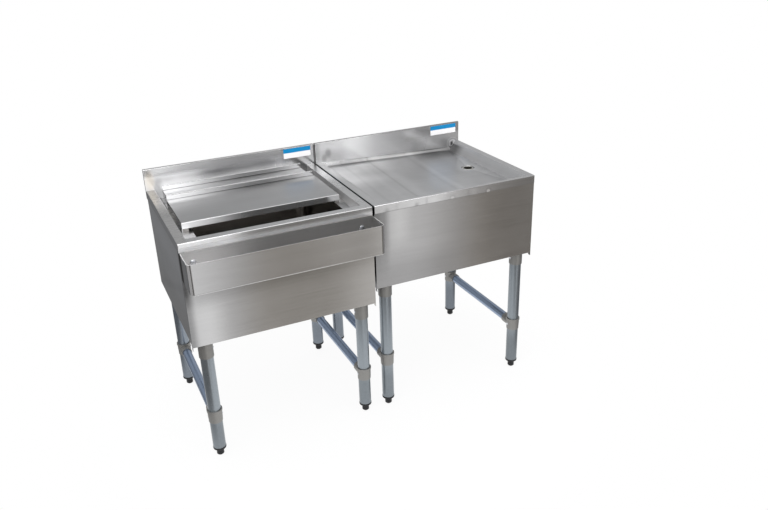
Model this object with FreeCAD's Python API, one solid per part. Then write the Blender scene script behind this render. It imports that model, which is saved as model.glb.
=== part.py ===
"""Two free-standing underbar units side by side: an ice bin with sliding lids and a
bottle rail, and a drainboard that falls to its own waste.

Millimetres, +Z up, -Y towards the person who stands in front.  The origin is on the floor,
at the middle of the width and of the whole depth, bottle rail included.  Each unit is drawn
in its own frame first: x from its left side, y back from the face of its nose, z up from
the floor.  place() then moves it to its spot.
"""
import FreeCAD, Part
import math
import os

V = FreeCAD.Vector
Z_AXIS = V(0, 0, 1)

# ---- overall sizes, both units -------------------------------------------------------
UNIT_WIDTH = 607.0
UNIT_GAP = 6.0
UNIT_DEPTH = 527.0
WORK_HEIGHT = 769.0
SHEET = 1.2
BEND = 2.5                      # outside radius of a folded edge
NOSE_HEIGHT = 27.5
NOSE_RETURN = 12.0
APRON_SETBACK = 2.5             # face of the apron behind the face of the nose
HEM = 5.0                       # small fold that stiffens a free lower edge
SIDE_FLANGE = 14.0
SIDE_RISE = 1.5                 # side panels end this far above the apron's lower edge
TAB = 11.0                      # ear left below each end of the apron

BACKSPLASH_RISE = 75.0
BACKSPLASH_DEPTH = 10.5
BACKSPLASH_LIP = 35.0

# ---- ice bin -------------------------------------------------------------------------
BIN_APRON_BOTTOM = 427.0
RIM_SIDE = 29.0                 # flat rim left and right of the recess
RIM_FRONT = 28.0
RECESS_DROP = 32.0              # rim to the ledge that the lids run on
LEDGE_LEFT = 46.0
LEDGE_RIGHT = 29.0
LEDGE_FRONT = 18.0
LEDGE_BACK = 36.0
TANK_CORNER = 40.0
TANK_COVE = 28.0
TANK_FLOOR = 485.0
TANK_FLANGE = 9.0
PAN_SIDE = 31.0                 # outer pan, in from the sides of the unit
PAN_FRONT = 30.0
PAN_BACK_GAP = 6.0              # outer pan to the rear panel
PAN_FLOOR = 450.0
PAN_SHEET = 1.0
FOAM_GAP = 0.3

DRAIN_BORE = 26.6               # one-inch pipe
DRAIN_PIPE = 33.4
DRAIN_FLANGE = 72.0
DRAIN_FLANGE_THICK = 3.0
DRAIN_EDGE = 1.0
DRAIN_BEVEL = 4.0
DRAIN_TAIL = 48.0               # pipe below what it hangs from
DRAIN_NUT_FLATS = 46.0
DRAIN_NUT_HEIGHT = 10.0
DRAIN_GAP = 0.3
SCREEN_DIAMETER = 58.0
SCREEN_THICK = 1.0
SCREEN_HOLE = 5.0
SCREEN_PITCH = 9.0

# ---- lids ----------------------------------------------------------------------------
LID_BEND = 2.2
LID_LIP = 17.5                  # upturned finger pull along the back of each lid
FRONT_LID_SIDE_GAP = 16.5       # each end of the lid to the wall of the recess
FRONT_LID_DEPTH = 231.0
FRONT_LID_BELOW_RIM = 2.0
FRONT_LID_HEM = 20.0
FRONT_LID_AT = 165.0            # its front face behind the nose, half open
REAR_LID_SIDE_GAP = 24.5
REAR_LID_DEPTH = 254.0
REAR_LID_HEM = 12.0
LID_STACK_GAP = 2.5             # rear lid passes this far under the front one
LID_BACK_GAP = 3.0              # rear lid to the backsplash

# ---- bottle rail ---------------------------------------------------------------------
RAIL_REACH = 95.0               # in front of the nose
RAIL_HEIGHT = 97.0
RAIL_END_GAP = 2.5              # each end in from the side of the unit
RAIL_CORNER = 12.0
RAIL_FLOOR_BEND = 5.0
RAIL_HEM = 9.0
RAIL_BELOW_NOSE = 1.5
RAIL_BOLT_INSET = 38.0
RAIL_BOLT_DROP = 36.0           # below the rail's top edge

# ---- drainboard ----------------------------------------------------------------------
BOARD_APRON_BOTTOM = 478.0
BOARD_RIM_LEFT = 24.0
BOARD_RIM_RIGHT = 26.0
BOARD_RIM_FRONT = 11.0
BOARD_SLOPE_RUN = 19.0          # plan width of the sloped wall inside the rim
BOARD_COVE_RUN = 11.0           # plan width of the slope at the foot of the backsplash
BOARD_DROP_LEFT = 15.5
BOARD_DROP_RIGHT = 33.0
BOARD_DROP_DRAIN = 38.0
BOARD_COVE_RIGHT = 23.0         # the cove starts this far below the rim at the right
BOARD_DRAIN_FROM_RIGHT = 95.0
BOARD_DRAIN_FROM_BACK = 243.0
BOARD_DRAIN_BORE = 32.0
BOARD_DRAIN_TAIL = 60.0
BOARD_NUT_FLATS = 52.0
BOARD_SEAT = 50.0               # dimple that the drain's rim lies in
BOARD_SEAT_SINK = 2.0
BOARD_SHEET = 1.6

# ---- legs ----------------------------------------------------------------------------
LEG_TUBE = 41.3
LEG_WALL = 1.5
LEG_INSET = 42.0                # leg centre in from each side
LEG_FRONT = 32.0                # leg centre behind the nose
LEG_BACK = 28.0                 # leg centre ahead of the back
LEG_FOOT_HEIGHT = 25.0
FIT_GAP = 0.3                   # between a tube and what it slides into
SOCKET_OUTER = 46.4
SOCKET_DEPTH = 49.0
SOCKET_TOP = 4.0
SOCKET_PLATE = 4.0
SOCKET_PLATE_WIDTH = 48.0
SOCKET_PLATE_LENGTH = 62.0
SOCKET_PLATE_FRONT = 14.0       # plate's edge behind the nose
SOCKET_PLATE_BACK = 6.0         # plate's edge ahead of the back
RAIL_CHANNEL_HEIGHT = 20.0
RAIL_CHANNEL_SHEET = 2.0
BIN_CHANNEL_SIDE = 18.0
BOARD_CHANNEL_LEVEL = 512.0
CHANNEL_INNER = 66.0            # inner edge of a leg channel from the side
CHANNEL_END_GAP = 4.0

TEE_HEIGHT = 44.0
TEE_TOP_OUTER = 47.6
TEE_FOOT_OUTER = 44.8
TEE_RING_OUTER = 50.0
TEE_RING_HEIGHT = 6.0
TEE_ARM_OUTER = 37.0
TEE_ARM_REACH = 47.0
TEE_ARM_STOP = 25.0             # the stretcher's end from the leg's centre
STRETCHER_TUBE = 31.0
STRETCHER_WALL = 1.4
BIN_TEE_LEVEL = 155.0
BOARD_TEE_LEVEL = 188.0

PLUG_DEPTH = 30.0
PLUG_FLANGE = 2.0
PLUG_FLANGE_INSET = 0.6
STEM_DIAMETER = 12.0
STEM_GAP = 0.3
STEM_LENGTH = 52.0
FOOT_DIAMETER = 24.0
FOOT_COLLAR = 34.0
FOOT_TREAD = 17.0
FOOT_ROUND = 3.5
FOOT_COLLAR_EDGE = 1.5

BOLT_SHANK = 8.0
BOLT_HOLE_GAP = 0.5
BOLT_HEAD_FLATS = 13.0
BOLT_HEAD_HEIGHT = 5.3
NUT_HEIGHT = 6.5
THREAD_GAP = 0.1
BOLT_SPARE = 3.0                # thread that shows past its nut
SPACER_OUTER = 18.0
JOIN_BOLT_DROP = 62.0           # below the work height
JOIN_BOLT_Y = (130.0, 400.0)
SET_SCREW = 8.0
SET_SCREW_LENGTH = 4.0

# ---- derived places ------------------------------------------------------------------
SPLASH_Y = UNIT_DEPTH - BACKSPLASH_DEPTH
PAN_BACK = SPLASH_Y - PAN_BACK_GAP
TOTAL_DEPTH = UNIT_DEPTH + RAIL_REACH
NOSE_Y = RAIL_REACH - TOTAL_DEPTH / 2.0
BIN_X = -UNIT_WIDTH - UNIT_GAP / 2.0
BOARD_X = UNIT_GAP / 2.0
NOSE_BOTTOM = WORK_HEIGHT - NOSE_HEIGHT
LEDGE_Z = WORK_HEIGHT - RECESS_DROP
TANK_X = (RIM_SIDE + LEDGE_LEFT, UNIT_WIDTH - RIM_SIDE - LEDGE_RIGHT)
TANK_Y = (RIM_FRONT + LEDGE_FRONT, SPLASH_Y - LEDGE_BACK)
TANK_MIDDLE = (sum(TANK_X) / 2.0, sum(TANK_Y) / 2.0)
LEG_X = (LEG_INSET, UNIT_WIDTH - LEG_INSET)
LEG_Y = (LEG_FRONT, UNIT_DEPTH - LEG_BACK)
RAIL_TOP = NOSE_BOTTOM - RAIL_BELOW_NOSE
FRONT_LID_TOP = WORK_HEIGHT - FRONT_LID_BELOW_RIM
BOARD_PAN_X = (BOARD_RIM_LEFT + BOARD_SLOPE_RUN, UNIT_WIDTH - BOARD_RIM_RIGHT - BOARD_SLOPE_RUN)
BOARD_PAN_Y = (BOARD_RIM_FRONT + BOARD_SLOPE_RUN, SPLASH_Y - BOARD_COVE_RUN)
BOARD_SEAT_Z = WORK_HEIGHT - BOARD_DROP_DRAIN - BOARD_SEAT_SINK
BOARD_DRAIN_X = UNIT_WIDTH - BOARD_DRAIN_FROM_RIGHT
BOARD_DRAIN_Y = UNIT_DEPTH - BOARD_DRAIN_FROM_BACK


# ---- small makers --------------------------------------------------------------------
def box(x0, y0, z0, x1, y1, z1):
    """A block between two corners."""
    return Part.makeBox(x1 - x0, y1 - y0, z1 - z0, V(x0, y0, z0))


def rod(diameter, base, length, axis=Z_AXIS):
    """A round bar from its base point along an axis."""
    return Part.makeCylinder(diameter / 2.0, length, base, axis)


def pipe(outer, inner, base, length, axis=Z_AXIS):
    """A straight tube."""
    return rod(outer, base, length, axis).cut(rod(inner, base, length, axis))


def turned(profile, x, y):
    """A closed outline of (radius, height) pairs turned about the vertical line at x, y."""
    points = [V(x + radius, y, height) for radius, height in profile]
    face = Part.Face(Part.makePolygon(points + points[:1]))
    return face.revolve(V(x, y, 0), Z_AXIS, 360)


def hexagon(flats, base, height, axis=Z_AXIS):
    """A hexagonal prism, as a nut or a bolt's head."""
    corner = flats / math.sqrt(3.0)
    points = [V(corner * math.cos(math.radians(60 * i)), corner * math.sin(math.radians(60 * i)), 0)
              for i in range(7)]
    prism = Part.Face(Part.makePolygon(points)).extrude(V(0, 0, height))
    prism.Placement = FreeCAD.Placement(base, FreeCAD.Rotation(Z_AXIS, axis))
    return prism


def edges_where(shape, test):
    """The edges whose two ends both pass a test on (x, y, z)."""
    return [edge for edge in shape.Edges
            if len(edge.Vertexes) == 2 and all(test(v.Point) for v in edge.Vertexes)]


def near(a, b):
    """True when two lengths are the same to a thousandth."""
    return abs(a - b) < 1e-3


def upright_edges(shape, xs, ys):
    """The vertical edges that stand at any of the given x and y values."""
    def at_corner(p):
        return any(near(p.x, x) for x in xs) and any(near(p.y, y) for y in ys)
    return [edge for edge in edges_where(shape, at_corner)
            if near(edge.Vertexes[0].X, edge.Vertexes[1].X)
            and near(edge.Vertexes[0].Y, edge.Vertexes[1].Y)]


def coved_block(x, y, z, corner, cove):
    """A block with rounded upright corners and, where cove is not zero, a rounded foot."""
    block = box(x[0], y[0], z[0], x[1], y[1], z[1])
    block = block.makeFillet(corner, upright_edges(block, x, y))
    if not cove:
        return block
    foot = [edge for edge in block.Edges
            if all(near(v.Z, z[0]) for v in edge.Vertexes)]
    return block.makeFillet(cove, foot)


def joined(first, *others):
    """One solid from pieces of metal that touch, with the seams between them removed."""
    return first.fuse(list(others)).removeSplitter()


def bolt(base, axis, grip):
    """A hexagon bolt and its nut.  base is under the head, axis points along the shank."""
    head = hexagon(BOLT_HEAD_FLATS, base - axis * BOLT_HEAD_HEIGHT, BOLT_HEAD_HEIGHT, axis)
    shank = rod(BOLT_SHANK, base, grip + NUT_HEIGHT + BOLT_SPARE, axis)
    nut = hexagon(BOLT_HEAD_FLATS, base + axis * grip, NUT_HEIGHT, axis)
    nut = nut.cut(rod(BOLT_SHANK + 2 * THREAD_GAP, base + axis * grip, NUT_HEIGHT, axis))
    return [head.fuse(shank), nut]


def bolt_hole(base, axis, length):
    """The space a bolt's shank passes through, with its clearance."""
    return rod(BOLT_SHANK + 2 * BOLT_HOLE_GAP, base, length, axis)


def mirrored(shape):
    """The same shape on the other side of its unit."""
    return shape.mirror(V(UNIT_WIDTH / 2.0, 0, 0), V(1, 0, 0))


def place(shape, unit_x):
    """Moves a shape from its unit's frame to its place in the pair."""
    moved = shape.copy()
    moved.translate(V(unit_x, NOSE_Y, 0))
    return moved


def plates_of(shell, xs, ys):
    """The plates that a shell is welded from, parted along the given x and y values."""
    bound = shell.BoundBox
    xs = [bound.XMin, *xs, bound.XMax]
    ys = [bound.YMin, *ys, bound.YMax]
    plates = []
    for x0, x1 in zip(xs, xs[1:]):
        for y0, y1 in zip(ys, ys[1:]):
            plates += shell.common(box(x0, y0, bound.ZMin, x1, y1, bound.ZMax)).Solids
    return plates


def save(name, shapes, unit_x):
    """Writes one node: a solid, or a group of separate solids."""
    solids = shapes if isinstance(shapes, list) else [shapes]
    moved = [place(solid, unit_x) for solid in solids]
    whole = moved[0] if len(moved) == 1 else Part.makeCompound(moved)
    whole.exportStep("parts/" + name + ".step")


# ---- folded sheet shared by both units -----------------------------------------------
def deck_skin():
    """The flat top with its nose and side skirts, before any recess is cut into it."""
    outer = box(0, 0, NOSE_BOTTOM, UNIT_WIDTH, SPLASH_Y, WORK_HEIGHT)
    folds = upright_edges(outer, (0, UNIT_WIDTH), (0,))
    folds += edges_where(outer, lambda p: near(p.z, WORK_HEIGHT) and near(p.y, 0))
    for side in (0, UNIT_WIDTH):
        folds += edges_where(outer, lambda p: near(p.z, WORK_HEIGHT) and near(p.x, side))
    outer = outer.makeFillet(BEND, folds)
    hollow = box(SHEET, SHEET, NOSE_BOTTOM, UNIT_WIDTH - SHEET, SPLASH_Y, WORK_HEIGHT - SHEET)
    between = (2 * SHEET, UNIT_WIDTH - 2 * SHEET)
    lip = box(between[0], SHEET, NOSE_BOTTOM, between[1], NOSE_RETURN, NOSE_BOTTOM + SHEET)
    return joined(outer.cut(hollow), lip)


def backsplash(foot):
    """Upstand folded over at the top, closed at both ends, open at the back."""
    top = WORK_HEIGHT + BACKSPLASH_RISE
    back = UNIT_DEPTH
    outer = box(0, SPLASH_Y, NOSE_BOTTOM, UNIT_WIDTH, back, top)
    fold = edges_where(outer, lambda p: near(p.z, top) and near(p.y, SPLASH_Y))
    fold += edges_where(outer, lambda p: near(p.z, top) and near(p.y, back))
    outer = outer.makeFillet(BEND, fold)
    hollow = box(SHEET, SPLASH_Y + SHEET, NOSE_BOTTOM, UNIT_WIDTH - SHEET, back - SHEET, top - SHEET)
    window = box(SHEET, back - SHEET, NOSE_BOTTOM, UNIT_WIDTH - SHEET, back, top - BACKSPLASH_LIP)
    below = box(2 * SHEET, SPLASH_Y, foot, UNIT_WIDTH - 2 * SHEET, SPLASH_Y + SHEET, NOSE_BOTTOM)
    return joined(outer.cut(hollow).cut(window), below)


def apron(bottom):
    """Front panel with returned ends, a small ear under each end and a folded lower edge."""
    front = APRON_SETBACK
    panel = box(0, front, bottom, UNIT_WIDTH, front + SHEET, NOSE_BOTTOM)
    hem = box(0, front, bottom, UNIT_WIDTH, front + HEM, bottom + SHEET)
    ends = []
    for x in (0, UNIT_WIDTH - SHEET):
        ends.append(box(x, front, bottom, x + SHEET, front + SIDE_FLANGE, NOSE_BOTTOM))
        ends.append(box(x, front, bottom - TAB, x + SHEET, front + TAB, bottom))
    return joined(panel, hem, *ends)


def side_panel(bottom):
    """Left side sheet with flanges folded in at the front, the back and the foot."""
    front = APRON_SETBACK + SHEET
    low = bottom + SIDE_RISE
    top = WORK_HEIGHT - SHEET
    inner = SHEET + SIDE_FLANGE
    sheet = box(SHEET, front, low, 2 * SHEET, SPLASH_Y, top)
    front_flange = box(SHEET, front, low, inner, front + SHEET, NOSE_BOTTOM)
    back_flange = box(SHEET, SPLASH_Y - SHEET, low, inner, SPLASH_Y, NOSE_BOTTOM)
    foot = box(SHEET, front, low, inner, SPLASH_Y, low + SHEET)
    return joined(sheet, front_flange, back_flange, foot)


def join_hole(x):
    """The bores for the two bolts that hold the units together, through a panel at x."""
    z = WORK_HEIGHT - JOIN_BOLT_DROP
    return [bolt_hole(V(x - SHEET, y, z), V(1, 0, 0), 3 * SHEET) for y in JOIN_BOLT_Y]


# ---- ice bin -------------------------------------------------------------------------
def bin_top():
    """Deck with the upright walls of the recess that the lids run in."""
    inner_right = UNIT_WIDTH - RIM_SIDE
    well = box(RIM_SIDE - SHEET, RIM_FRONT - SHEET, LEDGE_Z,
               inner_right + SHEET, SPLASH_Y, WORK_HEIGHT - SHEET)
    air = box(RIM_SIDE, RIM_FRONT, LEDGE_Z, inner_right, SPLASH_Y, WORK_HEIGHT)
    return deck_skin().fuse(well).cut(air).removeSplitter()


def tank_seams():
    """Where the plates of the tank and of its ledge meet, at the ends of their round corners."""
    return [(low + TANK_CORNER, high - TANK_CORNER) for low, high in (TANK_X, TANK_Y)]


def bin_ledge():
    """Flat shelf at the foot of those walls, its mouth rounded to match the tank."""
    shelf = box(RIM_SIDE - SHEET, RIM_FRONT - SHEET, LEDGE_Z - SHEET,
                UNIT_WIDTH - RIM_SIDE + SHEET, SPLASH_Y, LEDGE_Z)
    mouth = coved_block(TANK_X, TANK_Y, (LEDGE_Z - SHEET, LEDGE_Z), TANK_CORNER, 0)
    return plates_of(shelf.cut(mouth), *tank_seams())


def tank_block(grow, low, high):
    """The tank's coved outline, grown outwards by a thickness."""
    x = (TANK_X[0] - grow, TANK_X[1] + grow)
    y = (TANK_Y[0] - grow, TANK_Y[1] + grow)
    return coved_block(x, y, (low, high), TANK_CORNER + grow, TANK_COVE + grow)


def tank():
    """Coved tank hung by a flange under the ledge, with the hole for its drain."""
    top = LEDGE_Z - SHEET
    flange_x = (TANK_X[0] - TANK_FLANGE, TANK_X[1] + TANK_FLANGE)
    flange_y = (TANK_Y[0] - TANK_FLANGE, TANK_Y[1] + TANK_FLANGE)
    flange = coved_block(flange_x, flange_y, (top - SHEET, top), TANK_CORNER + TANK_FLANGE, 0)
    body = tank_block(SHEET, TANK_FLOOR - SHEET, top)
    hole = drain_hole(TANK_FLOOR - SHEET, SHEET)
    shell = joined(body, flange).cut(tank_block(0, TANK_FLOOR, top)).cut(hole)
    return plates_of(shell, *tank_seams())


def drain_hole(low, height):
    """The bore that the bin's drain pipe passes through."""
    return rod(DRAIN_PIPE + 2 * DRAIN_GAP, V(TANK_MIDDLE[0], TANK_MIDDLE[1], low), height)


def outer_pan():
    """Plain tray around the insulation: a floor and four walls, welded at their edges."""
    top = LEDGE_Z - SHEET
    left, right = PAN_SIDE, UNIT_WIDTH - PAN_SIDE
    low = PAN_FLOOR + PAN_SHEET
    floor = box(left, PAN_FRONT, PAN_FLOOR, right, PAN_BACK, low)
    side = box(left, PAN_FRONT, low, left + PAN_SHEET, PAN_BACK, top)
    walls = [side, mirrored(side)]
    for y in (PAN_FRONT, PAN_BACK - PAN_SHEET):
        walls.append(box(left + PAN_SHEET, y, low, right - PAN_SHEET, y + PAN_SHEET, top))
    return [floor.cut(drain_hole(PAN_FLOOR, PAN_SHEET))] + walls


def insulation():
    """Foam that fills the space between the tank and the outer pan."""
    inset = PAN_SHEET
    top = LEDGE_Z - 2 * SHEET
    block = box(PAN_SIDE + inset, PAN_FRONT + inset, PAN_FLOOR + inset,
                UNIT_WIDTH - PAN_SIDE - inset, PAN_BACK - inset, top)
    grow = SHEET + FOAM_GAP
    block = block.cut(tank_block(grow, TANK_FLOOR - SHEET, top))
    return block.cut(drain_hole(PAN_FLOOR, TANK_FLOOR - PAN_FLOOR))


def drain_fitting(x, y, face, bore, rim, tail_end):
    """Flanged waste: a rim that lies on the sheet and a pipe that goes down through it."""
    pipe_outer = (bore + DRAIN_PIPE - DRAIN_BORE) / 2.0
    top = face + DRAIN_FLANGE_THICK
    profile = [(bore / 2.0, tail_end), (pipe_outer, tail_end), (pipe_outer, face), (rim, face),
               (rim, face + DRAIN_EDGE), (rim - DRAIN_BEVEL, top), (bore / 2.0, top)]
    return turned(profile, x, y)


def drain_nut(x, y, bore, flats, top):
    """Hexagonal back nut that pulls a waste up against the sheet."""
    thread = bore + DRAIN_PIPE - DRAIN_BORE + 2 * THREAD_GAP
    base = V(x, y, top - DRAIN_NUT_HEIGHT)
    return hexagon(flats, base, DRAIN_NUT_HEIGHT).cut(rod(thread, base, DRAIN_NUT_HEIGHT))


def drain_screen():
    """Loose perforated disc over the bin's drain, with its holes on a hexagonal grid."""
    x, y = TANK_MIDDLE
    low = TANK_FLOOR + DRAIN_FLANGE_THICK
    disc = rod(SCREEN_DIAMETER, V(x, y, low), SCREEN_THICK)
    holes = []
    for row in range(-2, 3):
        for column in range(-2, 3):
            dx = (column + row / 2.0) * SCREEN_PITCH
            dy = row * SCREEN_PITCH * math.sqrt(3.0) / 2.0
            if math.hypot(dx, dy) < 2.2 * SCREEN_PITCH:
                holes.append(rod(SCREEN_HOLE, V(x + dx, y + dy, low), SCREEN_THICK))
    return disc.cut(holes)


def lid(side_gap, depth, top, hem, front):
    """Cover plate with side skirts down to the ledge, a front hem and an upturned back lip."""
    left = RIM_SIDE + side_gap
    right = UNIT_WIDTH - left
    back = front + depth
    body = box(left, front, LEDGE_Z, right, back, top)
    folds = edges_where(body, lambda p: near(p.z, top) and near(p.y, front))
    for side in (left, right):
        folds += edges_where(body, lambda p: near(p.z, top) and near(p.x, side))
    body = body.makeFillet(LID_BEND, folds)
    hollow = box(left + SHEET, front + SHEET, LEDGE_Z, right - SHEET, back, top - SHEET)
    under_hem = box(left + SHEET, front, LEDGE_Z, right - SHEET, front + SHEET, top - hem)
    lip = box(left + SHEET, back - SHEET, top - SHEET, right - SHEET, back, top + LID_LIP)
    crest = edges_where(lip, lambda p: near(p.z, top + LID_LIP))
    long_crest = [edge for edge in crest if near(edge.Vertexes[0].Y, edge.Vertexes[1].Y)]
    lip = lip.makeFillet(SHEET * 0.4, long_crest)
    return joined(body.cut([hollow, under_hem]), lip)


def front_lid():
    """The upper lid, drawn half open."""
    return lid(FRONT_LID_SIDE_GAP, FRONT_LID_DEPTH, FRONT_LID_TOP, FRONT_LID_HEM, FRONT_LID_AT)


def rear_lid():
    """The lower lid, pushed back under the front one against the backsplash."""
    front = SPLASH_Y - LID_BACK_GAP - REAR_LID_DEPTH
    top = FRONT_LID_TOP - SHEET - LID_STACK_GAP
    return lid(REAR_LID_SIDE_GAP, REAR_LID_DEPTH, top, REAR_LID_HEM, front)


def rail_bolts():
    """The two bolts that hang the bottle rail on the apron."""
    y = APRON_SETBACK - SHEET
    pieces = []
    for x in (RAIL_BOLT_INSET, UNIT_WIDTH - RAIL_BOLT_INSET):
        pieces += bolt(V(x, y, RAIL_TOP - RAIL_BOLT_DROP), V(0, 1, 0), 2 * SHEET)
    return pieces


def rail_bolt_holes():
    """The bores for those bolts, through the rail's back and the apron."""
    y = APRON_SETBACK - 2 * SHEET
    z = RAIL_TOP - RAIL_BOLT_DROP
    return [bolt_hole(V(x, y, z), V(0, 1, 0), 4 * SHEET)
            for x in (RAIL_BOLT_INSET, UNIT_WIDTH - RAIL_BOLT_INSET)]


def bottle_rail():
    """Open trough with rounded front corners and a doubled top edge."""
    x = (RAIL_END_GAP, UNIT_WIDTH - RAIL_END_GAP)
    y = (-RAIL_REACH, APRON_SETBACK)
    z = (RAIL_TOP - RAIL_HEIGHT, RAIL_TOP)

    def trough(inset, low, high):
        """The rail's outline drawn in by an inset, its front corners rounded to match."""
        block = box(x[0] + inset, y[0] + inset, low, x[1] - inset, y[1] - inset, high)
        corners = upright_edges(block, (x[0] + inset, x[1] - inset), (y[0] + inset,))
        return block.makeFillet(RAIL_CORNER - inset, corners)

    outer = trough(0, *z)
    foot = [edge for edge in outer.Edges if all(near(v.Z, z[0]) for v in edge.Vertexes)]
    outer = outer.makeFillet(RAIL_FLOOR_BEND, foot)
    inner = trough(SHEET, z[0] + SHEET, z[1] - RAIL_HEM)
    foot = [edge for edge in inner.Edges if all(near(v.Z, z[0] + SHEET) for v in edge.Vertexes)]
    inner = inner.makeFillet(RAIL_FLOOR_BEND - SHEET, foot)
    mouth = trough(2 * SHEET, z[1] - RAIL_HEM, z[1])
    shell = outer.cut([inner, mouth]).cut(rail_bolt_holes())
    return plates_of(shell, (x[0] + RAIL_CORNER, x[1] - RAIL_CORNER), (y[0] + RAIL_CORNER,))


# ---- drainboard ----------------------------------------------------------------------
def board_hollow():
    """The dished space inside the drainboard's rim, from the rim's level down.

    Sloped walls fall from the rim to the edge of the pan, and the pan falls in four flat
    facets to one point over the drain.
    """
    rim = WORK_HEIGHT
    left, right = BOARD_RIM_LEFT, UNIT_WIDTH - BOARD_RIM_RIGHT
    front, back = BOARD_RIM_FRONT, SPLASH_Y
    pan_left, pan_right = BOARD_PAN_X
    pan_front, pan_back = BOARD_PAN_Y
    high, low = rim - BOARD_DROP_LEFT, rim - BOARD_DROP_RIGHT
    cove_end = right - BOARD_SLOPE_RUN * BOARD_COVE_RIGHT / BOARD_DROP_RIGHT
    rim_ring = [V(left, front, rim), V(right, front, rim), V(right, back, rim), V(left, back, rim)]
    pan_ring = [V(pan_left, pan_front, high), V(pan_right, pan_front, low),
                V(pan_right, pan_back, low), V(pan_left, pan_back, high)]
    cove = V(cove_end, back, rim - BOARD_COVE_RIGHT)
    lowest = V(BOARD_DRAIN_X, BOARD_DRAIN_Y, rim - BOARD_DROP_DRAIN)
    outlines = [rim_ring,
                [rim_ring[0], rim_ring[3], pan_ring[3], pan_ring[0]],
                [rim_ring[1], rim_ring[2], cove, pan_ring[2], pan_ring[1]],
                [rim_ring[0], pan_ring[0], rim_ring[1]], [pan_ring[0], pan_ring[1], rim_ring[1]],
                [rim_ring[3], cove, pan_ring[3]], [cove, pan_ring[2], pan_ring[3]],
                [rim_ring[3], rim_ring[2], cove]]
    outlines += [[pan_ring[i], pan_ring[(i + 1) % 4], lowest] for i in range(4)]
    faces = [Part.Face(Part.makePolygon(points + points[:1])) for points in outlines]
    solid = Part.Solid(Part.makeShell(faces))
    solid.fix(1e-6, 1e-6, 1e-6)
    return solid if solid.Volume > 0 else solid.reversed()


def board_seat():
    """Round dimple that lets the drain's rim lie flush in the pan."""
    x, y = BOARD_DRAIN_X, BOARD_DRAIN_Y
    bore = (BOARD_DRAIN_BORE + DRAIN_PIPE - DRAIN_BORE) / 2.0 + DRAIN_GAP
    wide = BOARD_SEAT / 2.0
    low = BOARD_SEAT_Z - SHEET
    high = BOARD_SEAT_Z + DRAIN_FLANGE_THICK
    profile = [(bore, low), (wide + SHEET, low), (wide + SHEET, high), (wide, high),
               (wide, BOARD_SEAT_Z), (bore, BOARD_SEAT_Z)]
    return turned(profile, x, y)


def board_top():
    """Deck, and the plates of the dished pan in it, which meet along the pan's folds."""
    space = board_hollow()
    mouth = box(BOARD_RIM_LEFT, BOARD_RIM_FRONT, WORK_HEIGHT - BOARD_SHEET,
                UNIT_WIDTH - BOARD_RIM_RIGHT, SPLASH_Y, WORK_HEIGHT)
    dish = space.copy()
    dish.translate(V(0, 0, -BOARD_SHEET))
    seat_low = V(BOARD_DRAIN_X, BOARD_DRAIN_Y, BOARD_SEAT_Z - SHEET)
    seat_space = rod(BOARD_SEAT, seat_low + V(0, 0, SHEET), BOARD_DROP_DRAIN)
    pan = dish.fuse(mouth).cut(space).cut(rod(BOARD_SEAT, seat_low, BOARD_DROP_DRAIN))
    pan = joined(pan, board_seat()).cut(space).cut(seat_space)
    return [deck_skin().cut(mouth)] + plates_of(pan, BOARD_PAN_X, BOARD_PAN_Y)


# ---- legs ----------------------------------------------------------------------------
def legs_of(unit):
    """The four leg centres of a unit, each with its name, its outward side and its back flag."""
    for y, depth_name, to_back in ((LEG_Y[0], "front", 1), (LEG_Y[1], "back", -1)):
        for x, side_name, inward in ((LEG_X[0], "left", 1), (LEG_X[1], "right", -1)):
            yield unit + "_leg_" + depth_name + "_" + side_name, x, y, inward, to_back


def leg_tube(x, y, top):
    """Bare tube from its foot to the roof of its socket."""
    low = LEG_FOOT_HEIGHT + PLUG_FLANGE
    return pipe(LEG_TUBE, LEG_TUBE - 2 * LEG_WALL, V(x, y, low), top - low)


def socket(x, y, to_back, top):
    """Cup that takes a leg's top, hung from a plate; top is the plate's upper face."""
    roof = top - SOCKET_PLATE
    low = roof - SOCKET_TOP - SOCKET_DEPTH
    cup = rod(SOCKET_OUTER, V(x, y, low), roof - low)
    cup = cup.cut(rod(LEG_TUBE + 2 * FIT_GAP, V(x, y, low), SOCKET_DEPTH))
    half = SOCKET_PLATE_WIDTH / 2.0
    near_edge = SOCKET_PLATE_FRONT if to_back > 0 else UNIT_DEPTH - SOCKET_PLATE_BACK
    far_edge = near_edge + to_back * SOCKET_PLATE_LENGTH
    low_y, high_y = min(near_edge, far_edge), max(near_edge, far_edge)
    plate = box(x - half, low_y, roof, x + half, high_y, top)
    return joined(cup, plate)


def leg_channel(outer_x, top, wall):
    """Flat tube from front to back that two left sockets hang from, walls drawn in by wall."""
    low = top - RAIL_CHANNEL_HEIGHT
    back = UNIT_DEPTH - CHANNEL_END_GAP
    return box(outer_x + wall, SOCKET_PLATE_FRONT, low + wall, CHANNEL_INNER - wall, back, top - wall)


def tee(x, y, to_back, level):
    """Fitting clamped on a leg, with a ring at its top and an arm for the stretcher."""
    low, high = level - TEE_HEIGHT / 2.0, level + TEE_HEIGHT / 2.0
    ring = high - TEE_RING_HEIGHT
    profile = [(0, low), (TEE_FOOT_OUTER / 2.0, low), (TEE_TOP_OUTER / 2.0, ring),
               (TEE_RING_OUTER / 2.0, ring), (TEE_RING_OUTER / 2.0, high), (0, high)]
    arm_axis = V(0, to_back, 0)
    arm = rod(TEE_ARM_OUTER, V(x, y, level), TEE_ARM_REACH, arm_axis)
    body = joined(turned(profile, x, y), arm)
    bore = rod(LEG_TUBE + 2 * FIT_GAP, V(x, y, low), TEE_HEIGHT)
    stop = V(x, y + to_back * TEE_ARM_STOP, level)
    arm_bore = rod(STRETCHER_TUBE + 2 * FIT_GAP, stop, TEE_ARM_REACH, arm_axis)
    return body.cut([bore, arm_bore])


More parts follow.
